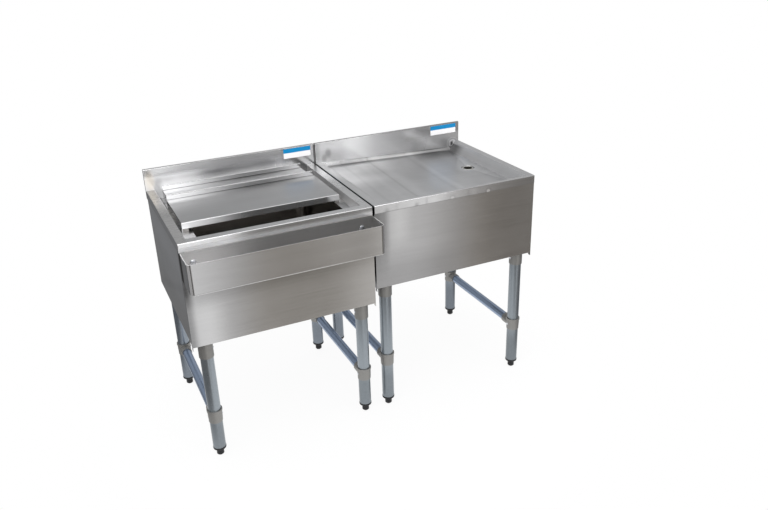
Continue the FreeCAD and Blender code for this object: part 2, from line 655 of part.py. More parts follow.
def stretcher(x, level):
    """Tube between the arms of the front and back tees on one side."""
    start = LEG_Y[0] + TEE_ARM_STOP
    length = LEG_Y[1] - TEE_ARM_STOP - start
    inner = STRETCHER_TUBE - 2 * STRETCHER_WALL
    return pipe(STRETCHER_TUBE, inner, V(x, start, level), length, V(0, 1, 0))


def leg_plug(x, y):
    """Threaded insert pressed into the lower end of a leg."""
    inner = LEG_TUBE / 2.0 - LEG_WALL
    bore = STEM_DIAMETER / 2.0 + STEM_GAP
    low = LEG_FOOT_HEIGHT
    seat = low + PLUG_FLANGE
    rim = LEG_TUBE / 2.0 - PLUG_FLANGE_INSET
    profile = [(bore, low), (rim - PLUG_FLANGE / 2.0, low), (rim, seat), (inner, seat),
               (inner, seat + PLUG_DEPTH), (bore, seat + PLUG_DEPTH)]
    return turned(profile, x, y)


def foot(x, y):
    """Bullet foot: rounded tread, plain barrel, collar under the plug and a stem above it."""
    barrel = FOOT_DIAMETER / 2.0
    collar = FOOT_COLLAR / 2.0
    top = LEG_FOOT_HEIGHT
    neck = top - (collar - barrel) - FOOT_COLLAR_EDGE
    stem = STEM_DIAMETER / 2.0
    profile = [(0, 0), (FOOT_TREAD / 2.0, 0), (barrel, FOOT_ROUND), (barrel, neck),
               (collar, top - FOOT_COLLAR_EDGE), (collar, top), (stem, top),
               (stem, top + STEM_LENGTH), (0, top + STEM_LENGTH)]
    return turned(profile, x, y)


def set_screws(unit, level, outer):
    """One screw per leg at a level, on the inner side, from the tube out through a wall."""
    screws, holes = [], []
    for _, x, y, inward, _ in legs_of(unit):
        axis = V(inward, 0, 0)
        start = V(x + inward * (LEG_TUBE / 2.0 + THREAD_GAP), y, level)
        screws.append(rod(SET_SCREW, start, SET_SCREW_LENGTH, axis))
        holes.append(rod(SET_SCREW + 2 * THREAD_GAP, start, outer, axis))
    return screws, holes


def save_legs(unit, unit_x, socket_top, channel_x, channel_top, tee_level):
    """Writes everything below one unit's cabinet."""
    tube_top = socket_top - SOCKET_PLATE - SOCKET_TOP
    screw_level = tube_top - SOCKET_DEPTH / 2.0
    screws, holes = set_screws(unit, screw_level, SOCKET_OUTER)
    tee_screws, tee_holes = set_screws(unit, tee_level, TEE_RING_OUTER)
    sockets, tees, plugs = [], [], []
    for name, x, y, _, to_back in legs_of(unit):
        save(name, leg_tube(x, y, tube_top), unit_x)
        save(name.replace("_leg_", "_foot_"), foot(x, y), unit_x)
        sockets.append(socket(x, y, to_back, socket_top).cut(holes))
        tees.append(tee(x, y, to_back, tee_level).cut(tee_holes))
        plugs.append(leg_plug(x, y))
    save(unit + "_leg_sockets", sockets, unit_x)
    save(unit + "_tees", tees, unit_x)
    save(unit + "_leg_plugs", plugs, unit_x)
    save(unit + "_set_screws", screws + tee_screws, unit_x)
    save(unit + "_stretcher_left", stretcher(LEG_X[0], tee_level), unit_x)
    save(unit + "_stretcher_right", stretcher(LEG_X[1], tee_level), unit_x)
    channel = leg_channel(channel_x, channel_top, 0)
    channel = channel.cut(leg_channel(channel_x, channel_top, RAIL_CHANNEL_SHEET))
    save(unit + "_leg_channels", [channel, mirrored(channel)], unit_x)


# ---- the pair ------------------------------------------------------------------------
def rear_panel(low, top):
    """Flat sheet that closes the back between the side panels."""
    inner = 2 * SHEET
    return box(inner, SPLASH_Y, low, UNIT_WIDTH - inner, SPLASH_Y + SHEET, top)


def joining_bolts():
    """Bolts, nuts and spacers that hold the two units a fixed gap apart, in the bin's frame."""
    z = WORK_HEIGHT - JOIN_BOLT_DROP
    inner_face = UNIT_WIDTH - 2 * SHEET
    grip = UNIT_GAP + 4 * SHEET
    pieces = []
    for y in JOIN_BOLT_Y:
        pieces += bolt(V(inner_face, y, z), V(1, 0, 0), grip)
        start = V(UNIT_WIDTH - SHEET, y, z)
        pieces.append(pipe(SPACER_OUTER, BOLT_SHANK + 2 * BOLT_HOLE_GAP, start,
                           UNIT_GAP + 2 * SHEET, V(1, 0, 0)))
    return pieces


def save_ice_bin():
    """Writes the ice bin, its lids and its bottle rail."""
    x, y = TANK_MIDDLE
    save("ice_bin_top", bin_top(), BIN_X)
    save("ice_bin_ledge", bin_ledge(), BIN_X)
    save("ice_bin_backsplash", backsplash(LEDGE_Z - SHEET), BIN_X)
    save("ice_bin_apron", apron(BIN_APRON_BOTTOM).cut(rail_bolt_holes()), BIN_X)
    side = side_panel(BIN_APRON_BOTTOM)
    save("ice_bin_left_side", side, BIN_X)
    save("ice_bin_right_side", mirrored(side).cut(join_hole(UNIT_WIDTH - 2 * SHEET)), BIN_X)
    save("ice_bin_rear_panel", rear_panel(PAN_FLOOR, LEDGE_Z - SHEET), BIN_X)
    save("ice_bin_tank", tank(), BIN_X)
    save("ice_bin_insulation", insulation(), BIN_X)
    save("ice_bin_outer_pan", outer_pan(), BIN_X)
    tail = PAN_FLOOR - DRAIN_TAIL
    save("ice_bin_drain", drain_fitting(x, y, TANK_FLOOR, DRAIN_BORE, DRAIN_FLANGE / 2.0, tail), BIN_X)
    save("ice_bin_drain_nut", drain_nut(x, y, DRAIN_BORE, DRAIN_NUT_FLATS, PAN_FLOOR), BIN_X)
    save("ice_bin_drain_screen", drain_screen(), BIN_X)
    save("front_lid", front_lid(), BIN_X)
    save("rear_lid", rear_lid(), BIN_X)
    save("bottle_rail", bottle_rail(), BIN_X)
    save("bottle_rail_bolts", rail_bolts(), BIN_X)
    save("joining_bolts", joining_bolts(), BIN_X)
    save_legs("ice_bin", BIN_X, PAN_FLOOR - RAIL_CHANNEL_HEIGHT, BIN_CHANNEL_SIDE, PAN_FLOOR,
              BIN_TEE_LEVEL)


def save_drainboard():
    """Writes the drainboard."""
    low = BOARD_APRON_BOTTOM
    seat = BOARD_SEAT_Z
    channel_x = 2 * SHEET
    rim = BOARD_SEAT / 2.0 - DRAIN_GAP
    save("drainboard_top", board_top(), BOARD_X)
    save("drainboard_backsplash", backsplash(NOSE_BOTTOM - BOARD_SHEET), BOARD_X)
    save("drainboard_apron", apron(low), BOARD_X)
    side = side_panel(low).cut(leg_channel(channel_x, BOARD_CHANNEL_LEVEL, 0))
    save("drainboard_left_side", side.cut(join_hole(2 * SHEET)), BOARD_X)
    save("drainboard_right_side", mirrored(side), BOARD_X)
    save("drainboard_rear_panel", rear_panel(BOARD_CHANNEL_LEVEL, seat), BOARD_X)
    fitting = drain_fitting(BOARD_DRAIN_X, BOARD_DRAIN_Y, seat, BOARD_DRAIN_BORE, rim,
                            seat - BOARD_DRAIN_TAIL)
    save("drainboard_drain", fitting, BOARD_X)
    nut = drain_nut(BOARD_DRAIN_X, BOARD_DRAIN_Y, BOARD_DRAIN_BORE, BOARD_NUT_FLATS, seat - SHEET)
    save("drainboard_drain_nut", nut, BOARD_X)
    save_legs("drainboard", BOARD_X, BOARD_CHANNEL_LEVEL - RAIL_CHANNEL_HEIGHT, channel_x,
              BOARD_CHANNEL_LEVEL, BOARD_TEE_LEVEL)


os.makedirs("parts", exist_ok=True)
save_ice_bin()
save_drainboard()
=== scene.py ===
"""Two stainless underbar units dressed for viewing: an ice bin with sliding lids and a
bottle rail, and a drainboard beside it.

Metres, +Z up, -Y towards the person who stands in front.  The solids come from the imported
frame and stay where they are; this file gives them their finishes and adds the thin work
that the solids leave out: rolled hems, rest blocks under the front lid, washers, screw
threads, leg caps, the strip in the gap and the two plain stickers.  Light, ground and camera
come last.
"""
import bpy
import math
import numpy as np
from mathutils import Matrix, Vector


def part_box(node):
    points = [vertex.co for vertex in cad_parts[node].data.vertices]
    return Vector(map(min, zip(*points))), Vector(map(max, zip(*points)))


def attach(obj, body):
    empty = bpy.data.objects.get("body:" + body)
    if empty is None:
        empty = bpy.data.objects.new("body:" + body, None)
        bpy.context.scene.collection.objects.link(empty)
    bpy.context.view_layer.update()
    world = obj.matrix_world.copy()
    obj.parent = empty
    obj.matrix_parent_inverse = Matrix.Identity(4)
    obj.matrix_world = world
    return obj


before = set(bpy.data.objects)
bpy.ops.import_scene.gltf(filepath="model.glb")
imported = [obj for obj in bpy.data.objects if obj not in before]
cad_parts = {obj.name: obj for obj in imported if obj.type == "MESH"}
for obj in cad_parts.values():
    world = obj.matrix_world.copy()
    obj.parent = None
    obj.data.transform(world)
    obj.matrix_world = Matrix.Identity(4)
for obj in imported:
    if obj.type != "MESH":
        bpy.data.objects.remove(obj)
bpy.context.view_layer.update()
INCH = 0.0254
MM = 0.001
WHITE = (1.0, 1.0, 1.0, 1.0)
STEEL_TINT = (0.56, 0.56, 0.565)
NOSE_HEIGHT = 27.5 * MM                 # the turned-down front edge of each unit's top
BOARD_WELD = (0.583, 0.3005, 0.760)     # the ground weld in the drainboard's rear corner
# the aprons' warm cast is a painted reflection
WARM_REFLECTION_CAST = (0.012, -0.002, -0.026)    # added to the steel where an apron looks warm


# ---- finishes ------------------------------------------------------------------------
class Nodes:
    """A node tree with short calls for its arithmetic."""

    def __init__(self, tree):
        self.tree = tree

    def node(self, kind, inputs=None, output=0, **settings):
        """Adds a node, sets or links its inputs and returns one of its outputs."""
        made = self.tree.nodes.new("ShaderNode" + kind)
        for key, value in settings.items():
            setattr(made, key, value)
        for key, value in (inputs or {}).items():
            self.feed(made.inputs[key], value)
        return made.outputs[output]

    def feed(self, socket, value):
        """Links a socket to a source, or sets its plain value."""
        if isinstance(value, bpy.types.NodeSocket):
            self.tree.links.new(value, socket)
        else:
            socket.default_value = value

    def parts_of(self, vector):
        """The three numbers of a vector."""
        split = self.tree.nodes.new("ShaderNodeSeparateXYZ")
        self.feed(split.inputs[0], vector)
        return split.outputs[0], split.outputs[1], split.outputs[2]

    def maths(self, operation, *values):
        """One step of arithmetic on sockets or numbers."""
        return self.node("Math", dict(enumerate(values)), operation=operation)

    def times(self, *values):
        """The product of several sockets or numbers."""
        result = values[0]
        for value in values[1:]:
            result = self.maths("MULTIPLY", result, value)
        return result

    def total(self, *terms):
        """The sum of several sockets or numbers; a tuple stands for the product of its parts."""
        terms = [self.times(*term) if isinstance(term, tuple) else term for term in terms]
        result = terms[0]
        for term in terms[1:]:
            result = self.maths("ADD", result, term)
        return result

    def ease(self, source, start, end, low=0.0, high=1.0):
        """A smooth step from low at start to high at end."""
        return self.node("MapRange", {"Value": source, "From Min": start, "From Max": end,
                                      "To Min": low, "To Max": high},
                         interpolation_type="SMOOTHSTEP")

    def vector(self, operation, *values, output=0):
        """One step of vector arithmetic on sockets or triples."""
        return self.node("VectorMath", dict(enumerate(values)), output, operation=operation)

    def length(self, vector):
        """How long a vector is."""
        return self.vector("LENGTH", vector, output="Value")

    def scaled(self, colour, amount):
        """A colour times a number."""
        return self.node("VectorMath", {0: colour, "Scale": amount}, operation="SCALE")

    def blend(self, share, first, second, how="MIX"):
        """Two colours mixed, or multiplied, by a share of the second."""
        return self.node("Mix", {0: share, 6: first, 7: second}, 2, data_type="RGBA",
                         blend_type=how)

    def ray_kinds(self):
        """One for rays that leave metal or clear things, and one for those and the lens's."""
        rays = self.tree.nodes.new("ShaderNodeLightPath").outputs
        mirror = self.maths("MAXIMUM", rays["Is Glossy Ray"], rays["Is Transmission Ray"])
        return mirror, self.maths("MAXIMUM", rays["Is Camera Ray"], mirror)


class Finish(Nodes):
    """A material with the patterns that a metal, plastic or foam finish needs."""

    def __init__(self, name):
        self.material = bpy.data.materials.new(name)
        self.material.use_nodes = True
        super().__init__(self.material.node_tree)
        self.shader = self.tree.nodes["Principled BSDF"]
        self.place = self.node("TexCoord", output="Object")
        self.x, self.y, self.z = self.parts_of(self.place)

    def close_to(self, source, middle, core, soft):
        """One within core of a middle value, falling smoothly to nothing over soft."""
        away = self.maths("ABSOLUTE", self.maths("SUBTRACT", source, middle))
        return self.ease(away, core + soft, core)

    def swell(self, source, start, *bumps):
        """The sum of smooth bumps, each (way from the start, half width, strength)."""
        return self.total(0.0, *[(self.close_to(source, start + way, 0.0, half), strength)
                                 for way, half, strength in bumps])

    def spot(self, centre, core, soft, squash=(1, 1, 1)):
        """One within core of a point, falling smoothly to nothing over soft."""
        gap = self.vector("MULTIPLY", self.vector("SUBTRACT", self.place, centre), squash)
        return self.ease(self.length(gap), core + soft, core)

    def noise(self, stretch, detail=3.0, rough=0.55, place=None, twist=0.0):
        """Cloudy noise between -1 and 1; stretch is its waves per metre along x, y and z."""
        at = self.vector("MULTIPLY", place or self.place, stretch)
        cloud = self.node("TexNoise", {"Vector": at, "Scale": 1.0, "Detail": detail,
                                       "Roughness": rough, "Distortion": twist})
        return self.maths("MULTIPLY_ADD", cloud, 2.0, -1.0)

    def cells(self, scale, edge=False):
        """Crystal cells, as in zinc spangle: a random number for each, or the way to its edge."""
        inputs = {"Vector": self.place, "Scale": scale}
        if edge:
            return self.node("TexVoronoi", inputs, "Distance", feature="DISTANCE_TO_EDGE")
        return self.parts_of(self.node("TexVoronoi", inputs, "Color"))[0]

    def normal(self):
        """The three parts of the direction in which a face looks."""
        return self.parts_of(self.node("NewGeometry", output="Normal"))

    def facing(self, axis, sign, at_least=0.7):
        """One on faces that look along an axis (0, 1 or 2), in the sense of the sign."""
        return self.maths("GREATER_THAN", self.times(self.normal()[axis], sign), at_least)

    def worn_and_highlit_edge(self, radius):
        """One along folds and cut edges, nothing on the flat.  Finishes add it to their tone as a
        paler edge: wear, and on metal partly a painted highlight.
        """
        soft = self.node("Bevel", {"Radius": radius}, samples=6)
        flat = self.node("NewGeometry", output="Normal")
        return self.ease(self.vector("DOT_PRODUCT", soft, flat, output="Value"), 0.995, 0.86)

    def along_grain(self):
        """The place with x along the rolled grain: sides have theirs from front to back."""
        on_side = self.maths("GREATER_THAN", self.maths("ABSOLUTE", self.normal()[0]), 0.6)
        swap = self.times(on_side, self.maths("SUBTRACT", self.y, self.x))
        return self.node("CombineXYZ", {0: self.total(self.x, swap),
                                        1: self.maths("SUBTRACT", self.y, swap), 2: self.z})

    def complete(self, tint, tone, rough, metallic, height=None, stain_and_reflection_tint=None, **plain):
        """Joins colour, roughness and relief to the shader; other values are plain numbers.
        stain is (where, colour to add there)."""
        colour = self.scaled(tint, tone)
        if stain_and_reflection_tint:
            colour = self.vector("MULTIPLY_ADD", stain_and_reflection_tint[1], stain_and_reflection_tint[0], colour)
        plain.update(Base_Color=colour, Roughness=rough, Metallic=metallic)
        if height is not None:
            plain["Normal"] = self.node("Bump", {"Strength": 1.0, "Distance": 1.0,
                                                 "Height": height})
        for key, value in plain.items():
            self.feed(self.shader.inputs[key.replace("_", " ")], value)
        return self.material


def sheet_steel(name, tint=STEEL_TINT, rough=0.14, level_rough=0.28, nose=None, marks=None):
    """Satin rolled sheet, a little duller where it lies level.

    Tone and roughness are sums of fine grain, broad rolling bands, hand-sized clouds and rubbed
    folds, the folds painted paler as wear and partly as painted highlight.  nose is (bottom z, top
    z, slope) of a front edge whose face leans back a little, with a height that falls by the slope
    on the way up.  marks(steel) gives that piece's own marks: a tone and a roughness to add, how
    dull it is, and a stain.
    """
    steel = Finish(name)
    grain_place = steel.along_grain()
    grain = steel.noise((3.0, 900.0, 900.0), 3.0, 0.6, grain_place)
    scratch = steel.noise((9.0, 260.0, 260.0), 4.0, 0.7, grain_place)
    band = steel.noise((1.2, 34.0, 34.0), 2.0, 0.5, grain_place)
    cloud = steel.noise((6.0, 7.0, 7.0), 4.0, 0.6)
    # the edges painted paler: partly wear, partly painted highlight
    edge = steel.worn_and_highlit_edge(1.6 * MM)
    tone = steel.total(1.0, (grain, 0.10), (scratch, 0.05), (band, 0.05), (cloud, 0.05),
                       (edge, 0.16))
    _, looks_y, looks_z = steel.normal()
    level = steel.maths("GREATER_THAN", steel.maths("ABSOLUTE", looks_z), 0.7)
    rough_here = steel.total(rough, (level, level_rough - rough), (grain, 0.04), (cloud, 0.03),
                             (edge, 0.04))
    own = marks(steel) if marks else {}
    darkest, smoothest = 0.05, 0.08
    tone = steel.maths("MAXIMUM", steel.total(tone, own.get("tone", 0.0)), darkest)
    rough_here = steel.total(rough_here, own.get("rough", 0.0))
    metallic = steel.maths("SUBTRACT", 1.0, own["dull"]) if "dull" in own else 1.0
    height = steel.total((grain, 1.1e-5), (scratch, 1.2e-5),
                         (steel.noise((3.5, 4.5, 4.5), 2.0, 0.5), 1.2e-4))
    if nose:
        on_front = steel.maths("LESS_THAN", looks_y, -0.6)
        climb = steel.maths("MINIMUM", steel.maths("MAXIMUM", steel.z, nose[0]), nose[1])
        height = steel.total(height, (climb, on_front, -nose[2]))
    rough_here = steel.maths("MAXIMUM", rough_here, smoothest)
    return steel.complete(tint, tone, rough_here, metallic, height, own.get("stain_and_reflection_tint"))


def galvanised_tube(name, tint):
    """Zinc-coated tube: bluish, drawn lines along its length, small soft spangle, painted shade
    near the floor and a little towards the right, and edges painted paler as wear and painted
    highlight."""
    zinc = Finish(name)
    drawn = zinc.noise((260.0, 260.0, 5.0), 3.0, 0.6)
    spangle = zinc.cells(160.0)
    cloud = zinc.noise((25.0, 25.0, 9.0), 4.0, 0.6)
    edge = zinc.worn_and_highlit_edge(1.0 * MM)
    # painted shade: darker near the floor and a little towards the right
    foot = zinc.ease(zinc.z, 0.19, 0.11)
    far = zinc.ease(zinc.x, -0.1, 0.4)
    tone = zinc.total(0.97, (drawn, 0.05), (spangle, 0.06), (cloud, 0.06), (edge, 0.12),
                      (foot, -0.27), (far, -0.08))
    rough = zinc.total(0.29, (spangle, 0.04), (cloud, 0.05))
    height = zinc.total((drawn, 6e-6), (cloud, 1.2e-5))
    return zinc.complete(tint, tone, rough, 0.94, height)


def galvanised_sheet():
    """Zinc-coated sheet: flat crystal cells in several greys with fine dark seams."""
    zinc = Finish("galvanised_sheet")
    spangle = zinc.cells(85.0)
    seam = zinc.ease(zinc.cells(85.0, edge=True), 0.05, 0.0)
    cloud = zinc.noise((9.0, 9.0, 9.0), 4.0, 0.6)
    tone = zinc.total(0.84, (spangle, 0.32), (cloud, 0.08), (seam, -0.12))
    rough = zinc.total(0.34, (spangle, 0.18), (cloud, 0.05))
    height = zinc.total((spangle, 8e-6), (seam, -6e-6))
    return zinc.complete((0.50, 0.52, 0.535), tone, rough, 0.95, height)


def cast_zinc():
    """Dull cast fitting with a sandy skin and rubbed edges, painted paler as wear and partly as
    painted highlight.
    """
    cast = Finish("cast_zinc")
    sand = cast.noise((900.0, 900.0, 900.0), 3.0, 0.6)
    flow = cast.noise((45.0, 45.0, 45.0), 4.0, 0.6)
    edge = cast.worn_and_highlit_edge(1.2 * MM)
    tone = cast.total(1.0, (sand, 0.08), (flow, 0.10), (edge, 0.20))
    rough = cast.total(0.47, (sand, 0.06), (flow, 0.05), (edge, -0.08))
    height = cast.total((sand, 3e-5), (flow, 8e-5))
    return cast.complete((0.295, 0.29, 0.278), tone, rough, 0.80, height)


def black_nylon():
    """Moulded black nylon, scuffed paler where it rubs."""
    nylon = Finish("black_nylon")
    pitting = nylon.noise((1400.0, 1400.0, 1400.0), 2.0, 0.6)
    scuff = nylon.noise((140.0, 140.0, 60.0), 4.0, 0.7)
    edge = nylon.worn_and_highlit_edge(0.8 * MM)
    tone = nylon.total(1.0, (pitting, 0.25), (scuff, 0.45), (edge, 1.2))
    rough = nylon.total(0.44, (scuff, 0.08))
    height = nylon.times(pitting, 1.5e-5)
    return nylon.complete((0.013, 0.013, 0.015), tone, rough, 0.0, height, Specular_IOR_Level=0.3)


def rigid_foam():
    """Poured foam: pale yellow closed cells with a broken skin."""
    foam = Finish("rigid_foam")
    pore = foam.ease(foam.cells(420.0, edge=True), 0.0, 0.12)
    cloud = foam.noise((14.0, 14.0, 14.0), 4.0, 0.6)
    tone = foam.total(0.82, (pore, 0.16), (cloud, 0.08))
    height = foam.times(pore, 3e-4)
    return foam.complete((0.83, 0.73, 0.46), tone, 0.85, 0.0, height)


def plated_fitting(name, tint):
    """Bright plating with fine polishing lines and water marks, and edges painted paler as wear
    and partly as painted highlight.
    """
    plate = Finish(name)
    line = plate.noise((700.0, 700.0, 700.0), 2.0, 0.5)
    mark = plate.noise((90.0, 90.0, 90.0), 4.0, 0.65)
    edge = plate.worn_and_highlit_edge(0.7 * MM)
    tone = plate.total(1.0, (line, 0.04), (mark, 0.08), (edge, 0.15))
    rough = plate.total(0.20, (line, 0.03), (mark, 0.07))
    return plate.complete(tint, tone, rough, 1.0, plate.times(line, 2e-6))


def sticker_vinyl(split, blue, white):
    """Printed vinyl with no print on it: a blue band above a height, white below."""
    vinyl = Finish("sticker_vinyl")
    fibre = vinyl.noise((600.0, 600.0, 600.0), 3.0, 0.6)
    crease = vinyl.noise((60.0, 60.0, 60.0), 3.0, 0.6)
    above = vinyl.ease(vinyl.z, split - 0.2 * MM, split + 0.2 * MM)
    difference = tuple(b - w for b, w in zip(blue, white))
    colour = vinyl.vector("MULTIPLY_ADD", difference, above, white)
    tone = vinyl.total(1.0, (fibre, 0.02), (crease, 0.03))
    rough = vinyl.total(0.38, (crease, 0.05))
    return vinyl.complete(colour, tone, rough, 0.0, vinyl.times(crease, 4e-5),
                          Specular_IOR_Level=0.30)


# ---- surfaces ------------------------------------------------------------------------
def put(name, data):
    """An object for a mesh, a lamp or a camera, linked into the scene."""
    holder = bpy.data.objects.new(name, data)
    bpy.context.scene.collection.objects.link(holder)
    return holder


def ring_quads(rows, columns, loop=False):
    """The quads of a grid whose rows are rings.  With loop, the last row joins the first."""
    row, column = np.meshgrid(np.arange(rows if loop else rows - 1), np.arange(columns),
                              indexing="ij")
    after, below = (column + 1) % columns, (row + 1) % rows
    quads = np.stack([row * columns + column, row * columns + after,
                      below * columns + after, below * columns + column], -1)
    return quads.reshape(-1, 4)


def surface(name, points, material, body, smooth=True, loop=False):
    """A closed skin over a grid of points: rows along the piece, columns round it.

    Each row is a ring whose last point joins its first, and a point at the middle of the
    first and of the last ring closes the ends.  With loop, the last row joins the first.
    """
    rows, columns = points.shape[:2]
    vertices = points.reshape(-1, 3)
    faces = ring_quads(rows, columns, loop).tolist()
    if not loop:
        vertices = np.concatenate([vertices, points[[0, -1]].mean(axis=1)])
        ring = np.arange(columns)
        after = (ring + 1) % columns
        start, end = np.full(columns, rows * columns), (rows - 1) * columns
        faces += np.stack([start, after, ring], -1).tolist()
        faces += np.stack([start + 1, end + ring, end + after], -1).tolist()
    mesh = bpy.data.meshes.new(name)
    mesh.from_pydata(vertices.tolist(), [], faces)
    mesh.polygons.foreach_set("use_smooth", np.full(len(faces), smooth))
    mesh.materials.append(material)
    mesh.update()
    piece = put(name, mesh)
    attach(piece, body)


def ring_round(profile, centre, axis, columns=48):
    """A profile of (radius, height) turned about an axis: radius times (cos, sin) of the
    turn, height along the axis, which is y or z."""
    profile = np.asarray(profile, float)
    turn = np.linspace(0, 2 * np.pi, columns, endpoint=False)
    radius, height = profile[:, :1], profile[:, 1:]
    flat = np.stack([radius * np.cos(turn), radius * np.sin(turn), height + 0 * turn], -1)
    order = {"z": [0, 1, 2], "y": [0, 2, 1]}[axis]
    return flat[..., order] + np.asarray(centre)


def bar_along_x(x0, x1, outline, round_end):
    """An outline in y and z carried from x0 to x1; over round_end of each end it shrinks by
    the quarter circle sqrt(1 - s*s)."""
    outline = np.asarray(outline, float)
    middle = outline.mean(axis=0)
    s = np.cos(np.linspace(0, np.pi / 2, 6))
    shaft = np.linspace(x0 + round_end, x1 - round_end, 40)[1:-1]
    x = np.concatenate([x0 + round_end * (1 - s), shaft, x1 - round_end * (1 - s[::-1])])
    reach = np.clip((round_end - np.minimum(x - x0, x1 - x)) / round_end, 0, 1)
    size = np.sqrt(1 - reach ** 2) * 0.98 + 0.02
    ring = middle + size[:, None, None] * (outline - middle)
    return np.concatenate([np.broadcast_to(x[:, None, None], ring.shape[:2] + (1,)), ring], -1)


def circle(y, z, half_y, half_z, columns=20):
    """An ellipse in y and z."""
    turn = np.linspace(0, 2 * np.pi, columns, endpoint=False)
    return np.stack([y + half_y * np.cos(turn), z + half_z * np.sin(turn)], -1)


def rounded_plate(x0, x1, z0, z1, y_back, thick, corner):
    """A thin plate against a wall that faces -Y, its outline a rectangle with round corners.

    Rows run from the middle of the back out to the edge, over it and in to the middle of the
    front: size and depth of row s are (0..1, back), (1, across), (1..0, front).
    """
    turn = np.linspace(0, 2 * np.pi, 64, endpoint=False)
    half = np.array([(x1 - x0) / 2 - corner, (z1 - z0) / 2 - corner])
    way = np.stack([np.cos(turn), np.sin(turn)], -1)
    outline = np.sign(way) * half + corner * way
    outline = np.where(np.abs(way) < 1e-9, corner * way, outline)
    middle = np.array([(x0 + x1) / 2, (z0 + z1) / 2])
    size = np.array([0.02, 0.5, 0.97, 1.0, 1.0, 0.97, 0.5, 0.02])
    depth = y_back - thick * np.array([0, 0, 0, 0.15, 0.85, 1, 1, 1])
    flat = middle + size[:, None, None] * outline
    y = np.broadcast_to(depth[:, None, None], flat.shape[:2] + (1,))
    return np.concatenate([flat[..., :1], y, flat[..., 1:]], -1)


# ---- pieces --------------------------------------------------------------------------
def rolled_hem(lid, body, material):
    """The lip's free edge rolled over: a fat bead along its crest."""
    low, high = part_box(lid)
    radius = 1.5 * MM
    crest = (high.y - 0.6 * MM, high.z - radius)
    points = bar_along_x(low.x + 1.5 * MM, high.x - 1.5 * MM,
                         circle(crest[0], crest[1], radius, radius), 1.2 * MM)
    surface(lid + "_rolled_hem", points, material, body)


def lid_rests(material):
    """Two small blocks under the front lid's fold, on which it slides along the ledge."""
    low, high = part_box("front_lid")
    _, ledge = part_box("ice_bin_ledge")
    inset = 0.3 * MM
    front, back = low.y + 1 * MM, low.y + 7 * MM
    foot, under_fold = ledge.z + inset, high.z - 37.7 * MM
    outline = [(front, foot), (back, foot), (back, under_fold), (front, under_fold)]
    for side, x0, x1 in (("left", low.x + inset, low.x + 20 * MM),
                         ("right", high.x - 16 * MM, high.x - inset)):
        surface("front_lid_rest_" + side, bar_along_x(x0, x1, outline, inset), material,
                "front_lid", smooth=False)


def foot_thread(foot, material):
    """The screw above a foot: radius is root plus ridge times a triangle wave of
    height over pitch less turn over a full circle."""
    low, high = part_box(foot)
    x, y = (low.x + high.x) / 2, (low.y + high.y) / 2
    pitch, root, ridge = 1.75 * MM, 6.03 * MM, 0.2 * MM
    rings, columns = 178, 24
    z = np.linspace(low.z + 25.2 * MM, high.z - 0.2 * MM, rings)[:, None]
    turn = np.linspace(0, 2 * np.pi, columns, endpoint=False)[None, :]
    phase = (z / pitch - turn / (2 * np.pi)) % 1.0
    fade = np.clip((high.z - z) / (2 * MM), 0, 1)
    radius = root + ridge * (1 - np.abs(2 * phase - 1)) * fade
    points = np.stack([x + radius * np.cos(turn), y + radius * np.sin(turn), z + 0 * turn], -1)
    surface(foot + "_thread", points, material, foot, smooth=False)


def leg_cap(leg, material):
    """The moulded cap over a leg's lower end: a short skirt with a rounded bottom edge."""
    low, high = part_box(leg)
    outer = (high.x - low.x) / 2
    profile = [(-4.0, -2.0), (-2.5, -2.0), (-0.6, -1.6), (0.3, -0.8), (0.8, 0.6), (0.8, 5.6),
               (0.4, 6.2), (-0.6, 6.2), (-0.6, 0.4), (-4.0, -0.4)]
    profile = np.array(profile) * MM + (outer, 0)
    points = ring_round(profile, ((low.x + high.x) / 2, (low.y + high.y) / 2, low.z), "z")
    surface(leg + "_cap", points, material, "cabinets", loop=True)


def rail_washers(material):
    """A washer under each bolt head in the bottle rail: a flat ring with rounded edges."""
    low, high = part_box("bottle_rail_bolts")
    under_head, half_head = low.y + 5.3 * MM, 7.5 * MM
    z = (low.z + high.z) / 2
    profile = np.array([(3.0, 0), (8.6, 0), (9.0, -0.3), (9.0, -1.1), (8.6, -1.4),
                        (3.0, -1.4)]) * MM
    for side, x in (("left", low.x + half_head), ("right", high.x - half_head)):
        surface("bottle_rail_washer_" + side, ring_round(profile, (x, under_head, z), "y"),
                material, "cabinets")


def stickers():
    """The two plain stickers on the backsplashes: blue over white, with nothing printed."""
    low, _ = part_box("ice_bin_backsplash")
    foot, split, top = 31.65 * INCH, 32.42 * INCH, 33.05 * INCH
    material = sticker_vinyl(split, blue=(0.0, 0.235, 0.53), white=(0.92, 0.91, 0.92))
    for side, x0, x1 in (("left", 19.4, 23.45), ("right", 43.1, 47.5)):
        points = rounded_plate(low.x + x0 * INCH, low.x + x1 * INCH, foot, top, low.y,
                               thick=0.25 * MM, corner=2.0 * MM)
        surface("plain_sticker_" + side, points, material, "cabinets")


def gap_seal(material):
    """A thin strip pressed into the gap between the two backsplashes: the ends shrink by the
    quarter circle, as on a bar, but it stands upright."""
    left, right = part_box("ice_bin_backsplash"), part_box("drainboard_backsplash")
    x = (left[1].x + right[0].x) / 2
    half = (right[0].x - left[1].x) / 2 - 0.15 * MM
    y, half_depth = left[0].y + 5.5 * MM, 4.5 * MM
    upright = bar_along_x(left[0].z - 60 * MM, left[1].z - 1 * MM,
                          circle(x, y, half, half_depth), 2 * MM)
    surface("gap_seal", upright[..., [1, 2, 0]], material, "cabinets")
